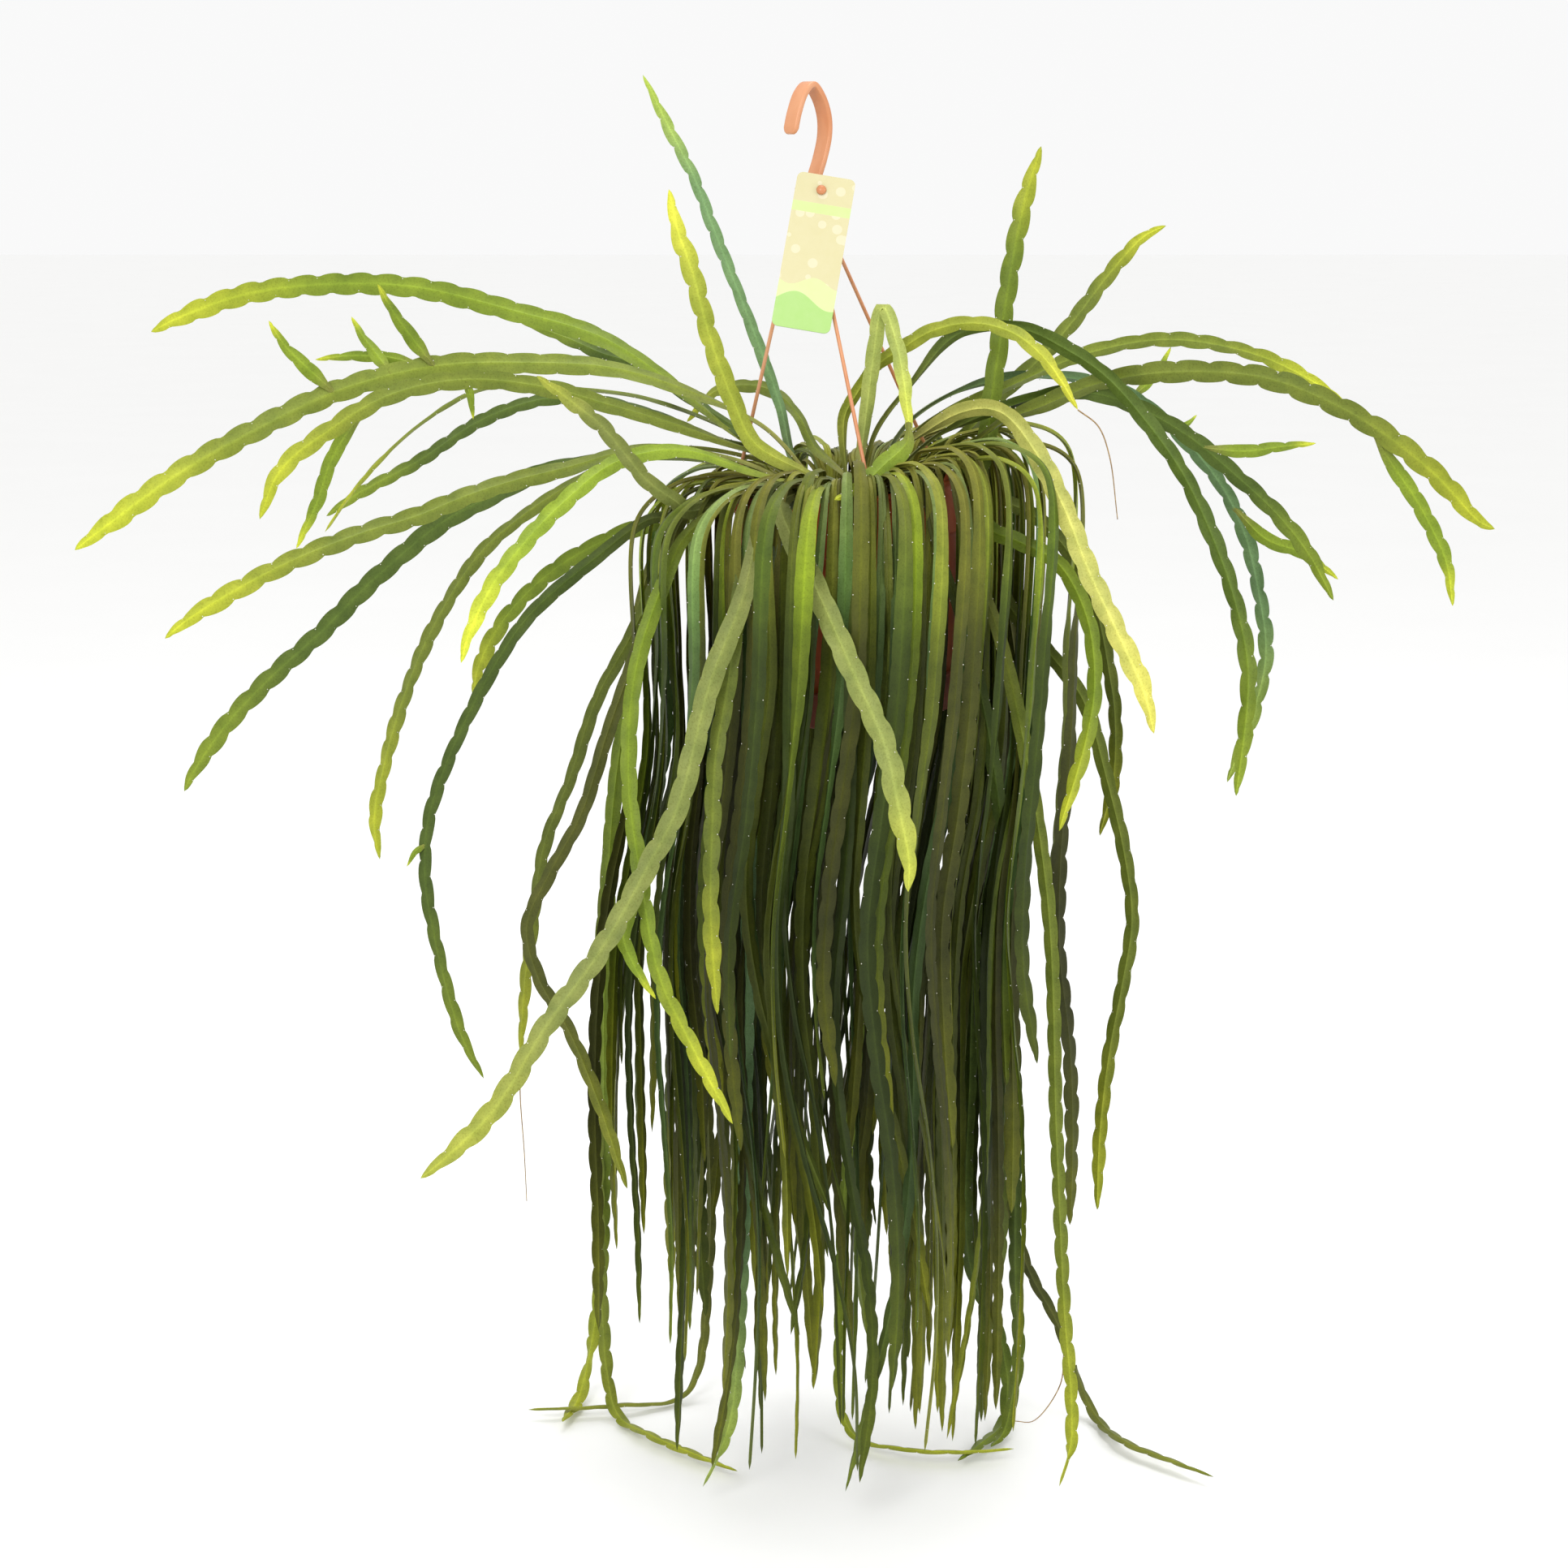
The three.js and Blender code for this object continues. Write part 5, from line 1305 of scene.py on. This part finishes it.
def turned(shape, profile):
    """Adds a closed profile, run upwards on the outside, turned about the pot's axis."""
    rings = [[(*around(r, 360 * s / TURNS), z) for s in range(TURNS)] for r, z in profile]
    faces = []
    for ring in range(len(profile) - 1):
        for side in range(TURNS):
            low, after = ring * TURNS + side, ring * TURNS + (side + 1) % TURNS
            faces.append([low, after, after + TURNS, low + TURNS])
    faces.append(list(range(TURNS - 1, -1, -1)))
    last = (len(profile) - 1) * TURNS
    faces.append(list(range(last, last + TURNS)))
    points = hung(np.array(rings).reshape(-1, 3))
    shape.add(points, faces, np.full((len(points), 3), 0.5))


def plate(shape, outer, inner, low, high, place):
    """Adds a flat plate with a hole: two outlines with as many points each, between two heights."""
    count = len(outer)
    loops = [(outer, low), (outer, high), (inner, high), (inner, low)]
    points = np.array([(x, y, z) for loop, z in loops for x, y in loop])
    faces = []
    for band in range(4):
        for side in range(count):
            after = (side + 1) % count
            nearer, further = band * count, (band + 1) % 4 * count
            faces.append([nearer + side, nearer + after, further + after, further + side])
    placed = place(points)
    shape.add(placed, faces, np.full((len(placed), 3), 0.5))


def rounded_box(width, depth, radius, steps):
    """An outline with rounded corners, starting at the top of its right side, with 4 * steps points."""
    points = []
    for quarter in range(4):
        for step in range(steps):
            angle = math.pi / 2 * (quarter + step / (steps - 1))
            signs = [(1, 1), (-1, 1), (-1, -1), (1, -1)][quarter]
            points.append((signs[0] * (width / 2 - radius) + radius * math.cos(angle),
                           signs[1] * (depth / 2 - radius) + radius * math.sin(angle)))
    return points


pot_profile = [
    (2, POT_FLOOR), (51.5, POT_FLOOR), (52.6, POT_FLOOR + 0.6), (53, POT_FLOOR + 1.6), (69.2, RIM - 36.2),
    (70, RIM - 35), (71.4, RIM - 34.4), (72.2, RIM - 33.2), (72.4, RIM - 31.8), (72.4, RIM - 4.6),
    (72.9, RIM - 4), (73.7, RIM - 3.6), (74, RIM - 2.8), (74, RIM - 1), (73.5, RIM - 0.2), (72.6, RIM),
    (71.6, RIM - 0.2), (70.9, RIM - 1.2), (70.9, RIM - 31.6), (69.6, RIM - 33.4), (68.5, RIM - 34.4),
    (51.5, POT_FLOOR + 1.5), (2, POT_FLOOR + 1.5),
]
pot_shape = Shape()
turned(pot_shape, pot_profile)
lug_outline = rounded_box(12, 15, 2.4, 6)
slot_outline = rounded_box(3.8, 3.8, 0.5, 6)
for azimuth in STRAND_AZIMUTHS:
    turn = math.radians(azimuth - 90)

    def on_lug(points):
        x, y, z = points[:, 0] + 77.5, points[:, 1], points[:, 2]
        return hung(np.stack([x * math.cos(turn) - y * math.sin(turn), x * math.sin(turn) + y * math.cos(turn), z], 1))

    plate(pot_shape, lug_outline, slot_outline, RIM - 2.2, RIM, on_lug)

saucer_low = POT_FLOOR - 1.8
saucer_profile = [
    (1.5, saucer_low), (53.6, saucer_low), (54.7, saucer_low + 0.5), (55.2, saucer_low + 1.6),
    (58.3, saucer_low + 22), (58.6, saucer_low + 22.9), (59.3, saucer_low + 23.3), (59.5, saucer_low + 24),
    (59.3, saucer_low + 24.8), (58.6, saucer_low + 25), (57.4, saucer_low + 24.8), (57, saucer_low + 24),
    (54, saucer_low + 1.5), (6, saucer_low + 1.5), (6, POT_FLOOR + 2.2), (5.4, POT_FLOOR + 2.8), (1.5, POT_FLOOR + 3.4),
]
saucer_shape = Shape()
turned(saucer_shape, saucer_profile)
print("pot faces", len(pot_shape.faces), "saucer faces", len(saucer_shape.faces))

# %% [markdown]
# The plastic of both is a satin terracotta. Its colour is never quite even: dust and dried water leave paler
# streaks, and the saucer is darker.

# %% Finish of pot and saucer


def moulded(name, colour, worn, roughness):
    """Satin moulded plastic, with paler dusty patches and a fine grain."""
    plastic = Finish(name)
    dust = plastic.noise(26, 4, 0.6, (1, 1, 0.35))
    streaks = plastic.ramp(dust, [(0.42, linear(*colour)), (0.72, linear(*worn))])
    shine = plastic.spread(plastic.noise(90, 3), roughness, roughness + 0.16)
    fine = plastic.bump(plastic.noise(1600, 2), 0.0002, 0.3)
    return plastic.show(Base_Color=streaks, Roughness=shine, Normal=fine, IOR=1.48)


pot_plastic = moulded("satin terracotta plastic", (196, 84, 30), (208, 112, 60), 0.38)
saucer_plastic = moulded("darker terracotta plastic", (146, 60, 30), (166, 88, 54), 0.4)
make_piece("pot_shell", pot_shape, pot_plastic, "pot")
make_piece("saucer_dish", saucer_shape, saucer_plastic, "saucer")

# %% [markdown]
# ## Potting mix
# The mix is dark and coarse: bark, peat and a few white grains. Its top is a net of rings whose points are pushed
# up and down by a seeded draw, and below it the body fills the pot.

# %% Potting mix
soil_shape = Shape()
soil_dice = Dice(303)
soil_rings = [(3 + 66.4 * ring / 22, SOIL - 1.6) for ring in range(23)]
soil_profile = [(2, POT_FLOOR + 5), (49, POT_FLOOR + 5), (67.4, RIM - 36), (69.2, RIM - 30), (69.4, SOIL - 3)]
turned(soil_shape, soil_profile + soil_rings[::-1])
bumps = np.zeros((len(soil_profile) + len(soil_rings), TURNS))
bumps[len(soil_profile):] = [[soil_dice.between(-1.4, 1.5) for _ in range(TURNS)] for _ in soil_rings]
bumps = (bumps + np.roll(bumps, 1, axis=1)) / 2
soil_shape.points[0] = soil_shape.points[0] + np.array([0, 0, 1]) * bumps.reshape(-1, 1)
mix_finish = Finish("coarse potting mix")
bark = mix_finish.ramp(mix_finish.noise(420, 6, 0.7), [
    (0.32, linear(30, 20, 12)), (0.52, linear(74, 52, 32)), (0.66, linear(104, 80, 52)), (0.72, linear(196, 190, 176)),
])
crumbs = mix_finish.bump(mix_finish.noise(500, 6, 0.7), 0.003, 0.9)
make_piece("potting_mix", soil_shape, mix_finish.show(Base_Color=bark, Roughness=0.95, Normal=crumbs), "soil")

# %% [markdown]
# ## Hanger
# The hanger is one moulding: a flat band bent into a hook, a round hub, and three thin strands that end in barbs
# pushed through the lugs. The band is a rounded section swept along its line, and the strands are round tubes.

# %% Hook, hub, strands and barbs
HOOK_TURN = math.radians(45)
HOOK_LINE = [(-17, -29), (-13, -15), (-7, -3), (0, 2), (8, -5), (13.5, -17), (14, -29), (10, -43), (4.5, -56), (1, -68)]
BAND = rounded_box(4, 11, 1.1, 4)


def swept(shape, line, section_at, sides):
    """Adds rings of a section along a line, closed at both ends."""
    rings = [section_at(i, share) for i, share in enumerate(np.linspace(0, 1, line))]
    points = np.concatenate(rings)
    faces = [list(range(sides - 1, -1, -1))]
    for ring in range(line - 1):
        for side in range(sides):
            low, after = ring * sides + side, ring * sides + (side + 1) % sides
            faces.append([low, after, after + sides, low + sides])
    faces.append(list(range((line - 1) * sides, line * sides)))
    shape.add(points, faces, np.full((len(points), 3), 0.5))


def tube(shape, path, radius_at, sides=10, rings=40, place=None):
    """Adds a round tube along points, with a radius for each share of its length."""
    line = Route(path)
    at, along = line.along(np.linspace(0, 1, rings))
    aside = unit(np.cross(along, np.array([0.3, 0.9, 0.2])))
    above = np.cross(along, aside)

    def ring(i, share):
        angles = np.linspace(0, math.tau, sides, endpoint=False)
        offset = aside[i] * np.cos(angles)[:, None] + above[i] * np.sin(angles)[:, None]
        points = at[i] + offset * radius_at(share)
        return place(points) if place else points

    swept(shape, rings, ring, sides)


hanger_shape = Shape()
hook_route = Route([(u, 0, z) for u, z in HOOK_LINE])
HOOK_RINGS = 90


def band_ring(i, share):
    at, along = hook_route.along([0.004 + 0.992 * share])
    away = np.array([along[0][2], 0, -along[0][0]])
    narrow = 0.55 + 0.45 * math.sqrt(min(1, share * HOOK_RINGS / 3))
    points = []
    for thick, wide in BAND:
        ridge = 0.5 * max(0, 1 - abs(wide) / 2.2) * (1 if thick < 0 else -0.4)
        points.append(at[0] + away * (thick - ridge) * 0.96 * narrow + np.array([0, wide * narrow, 0]))
    u, wide, z = np.array(points).T
    return np.stack([u * math.cos(HOOK_TURN) - wide * math.sin(HOOK_TURN),
                     u * math.sin(HOOK_TURN) + wide * math.cos(HOOK_TURN), z], axis=1)


swept(hanger_shape, HOOK_RINGS, band_ring, len(BAND))

HUB_PROFILE = [(7.6, -74), (8.6, -73.4), (9, -72.4), (9, -62), (8.6, -60.8), (7.6, -60.1)]
hub_rings = [[(*around(r, 15 * s), z) for s in range(24)] for r, z in HUB_PROFILE]
swept(hanger_shape, len(HUB_PROFILE), lambda i, share: np.array(hub_rings[i]), 24)

for azimuth in STRAND_AZIMUTHS:
    x, y = around(77.5, azimuth)
    hub_x, hub_y = around(6, azimuth)
    strand = [(hub_x, hub_y, 0), mix(np.array([hub_x, hub_y, 0]), np.array([x, y, RIM + 3]), 0.5), (x, y, RIM + 3)]
    tube(hanger_shape, strand, lambda share: 1.25, place=hung)
    tube(hanger_shape, [(x, y, RIM + 4), (x, y, RIM), (x, y, RIM - 6)], lambda share: 1.28, rings=4, place=hung)
    wide_way = np.array([math.cos(math.radians(azimuth)), math.sin(math.radians(azimuth)), 0])
    thick_way = np.array([-wide_way[1], wide_way[0], 0])

    def barb_ring(i, share):
        half = mix(3.4, 0.7, share) * (1 if 0 < i < 7 else 0.86)
        corners = [(half, 1), (half - 0.4, 1.3), (0.4 - half, 1.3), (-half, 1),
                   (-half, -1), (0.4 - half, -1.3), (half - 0.4, -1.3), (half, -1)]
        base = np.array([x, y, RIM - 2.6 - 21.9 * share])
        return hung(np.array([base + wide_way * a + thick_way * b for a, b in corners[::-1]]))

    swept(hanger_shape, 8, barb_ring, 8)
print("hanger faces", len(hanger_shape.faces))

# %% [markdown]
# ## Peg and tag
# The tag hangs on a peg of the hub. It is a coated card with rounded corners and a round hole. Its print is a plain
# design in pale yellow and green: a green band near the top, rolling hills at the foot, and a pattern of soft dots.

# %% Peg and tag
TAG_FORWARD = math.radians(19.5)
TAG_LEAN = math.radians(9.7)
tag_hole = seen_at((1012, 235), -12)


def tag_place(points):
    """Points of the tag's own frame: the hole at the origin, the card below it, its face towards -Y."""
    x, y, z = np.moveaxis(np.asarray(points, float), -1, 0)
    x, z = x * math.cos(TAG_LEAN) + z * math.sin(TAG_LEAN), z * math.cos(TAG_LEAN) - x * math.sin(TAG_LEAN)
    y, z = y * math.cos(TAG_FORWARD) + z * math.sin(TAG_FORWARD), z * math.cos(TAG_FORWARD) - y * math.sin(TAG_FORWARD)
    return np.stack([x, y, z], axis=-1) + tag_hole


def peg_line(start, end):
    return [(0, -mix(start, end, share), 0) for share in (0, 0.5, 1)]


tube(hanger_shape, peg_line(-9, 1.9), lambda share: 1.9, sides=16, rings=4, place=tag_place)
tube(hanger_shape, peg_line(1.8, 3), lambda share: 3.2 - 0.7 * share, sides=16, rings=4, place=tag_place)
hanger_plastic = moulded("satin light terracotta plastic", (196, 128, 84), (210, 152, 112), 0.26)
make_piece("hanger_moulding", hanger_shape, hanger_plastic, "hanger")

TAG_MIDDLE = (2, -40.5)
outline = [(TAG_MIDDLE[0] + x, TAG_MIDDLE[1] + z) for x, z in rounded_box(37, 101, 4, 8)]
angles = [math.atan2(z, x) for x, z in outline]
hole = [(2.6 * math.cos(angle), 2.6 * math.sin(angle)) for angle in angles]
tag_shape = Shape()


def card(points):
    return tag_place(points[:, [0, 2, 1]])


plate(tag_shape, outline, hole, -0.8, 0, card)
print("tag hole at", tag_hole.round(1), "mm")

# %% Print of the tag
label = Finish("coated label card")


def along_card(axis):
    """Millimetres from the hole along one of the card's own axes."""
    direction = tag_place(axis) - tag_hole
    start = float(dot(direction, tag_hole)) * MM
    far = label.node("VectorMath", {"operation": "DOT_PRODUCT"}, {0: label.place(), 1: direction.tolist()}, "Value")
    return (far - start) * (1 / MM)


card_x, card_z = along_card([1, 0, 0]), along_card([0, 0, 1])


def below(height, value):
    return label.maths("LESS_THAN", value, height)


def wave(value, length, phase):
    return label.maths("SINE", value * (math.tau / length) + phase, 0)


dots = label.node("TexVoronoi", {"voronoi_dimensions": "3D"}, {"Vector": label.place(), "Scale": 95.0}, "Distance")
yellow = label.tint(below(0.3, dots), linear(196, 188, 140), linear(206, 198, 162))
far_hills = below(-60, card_z - wave(card_x, 31, 0.4) * 3)
near_hills = below(-72, card_z - wave(card_x, 44, 2.2) * 5)
print_colours = label.tint(far_hills, yellow, linear(196, 218, 140))
print_colours = label.tint(near_hills, print_colours, linear(150, 192, 96))
print_colours = label.tint(below(3.2, label.maths("ABSOLUTE", card_z + 12, 0)), print_colours, linear(188, 212, 128))
worn_print = label.tint(label.noise(160, 3) * 0.12, print_colours, linear(225, 222, 205))
card_roughness = label.spread(label.noise(300, 2), 0.28, 0.42)
card_bump = label.bump(label.noise(900), 0.0001, 0.2)
label_card = label.show(Base_Color=worn_print, Roughness=card_roughness, Normal=card_bump)
make_piece("tag_card", tag_shape, label_card, "tag", smooth_faces=False)

# %% [markdown]
# ## Dry threads
# A few hair-thin, dry ends hang from the stems. They are round tubes of less than a millimetre, in straw brown.

# %% Dry threads
THREADS = (
    ([(1328, 505), (1353, 525), (1367, 562), (1377, 640)], (-60, -70)),
    ([(641, 1299), (641, 1350), (646, 1420), (649, 1480)], (10, 8)),
    ([(1311, 1664), (1306, 1707), (1273, 1751), (1251, 1751)], (-42, -50)),
)
thread_shape = Shape()
for pixels, (start, end) in THREADS:
    placed = [seen_at(pixel, mix(start, end, share)) for pixel, share in zip(pixels, picture_shares(pixels))]
    tube(thread_shape, placed, lambda share: mix(0.5, 0.3, share), sides=6, rings=30)
straw = Finish("dry straw thread")
straw_colour = straw.ramp(straw.noise(300, 3), [(0.3, linear(120, 92, 56)), (0.7, linear(170, 140, 92))])
make_piece("dry_threads", thread_shape, straw.show(Base_Color=straw_colour, Roughness=0.8), None)

# %% [markdown]
# ## Size
# The fine plant has to stay in the box of the imported model.

# %% Update the scene
bpy.context.view_layer.update()
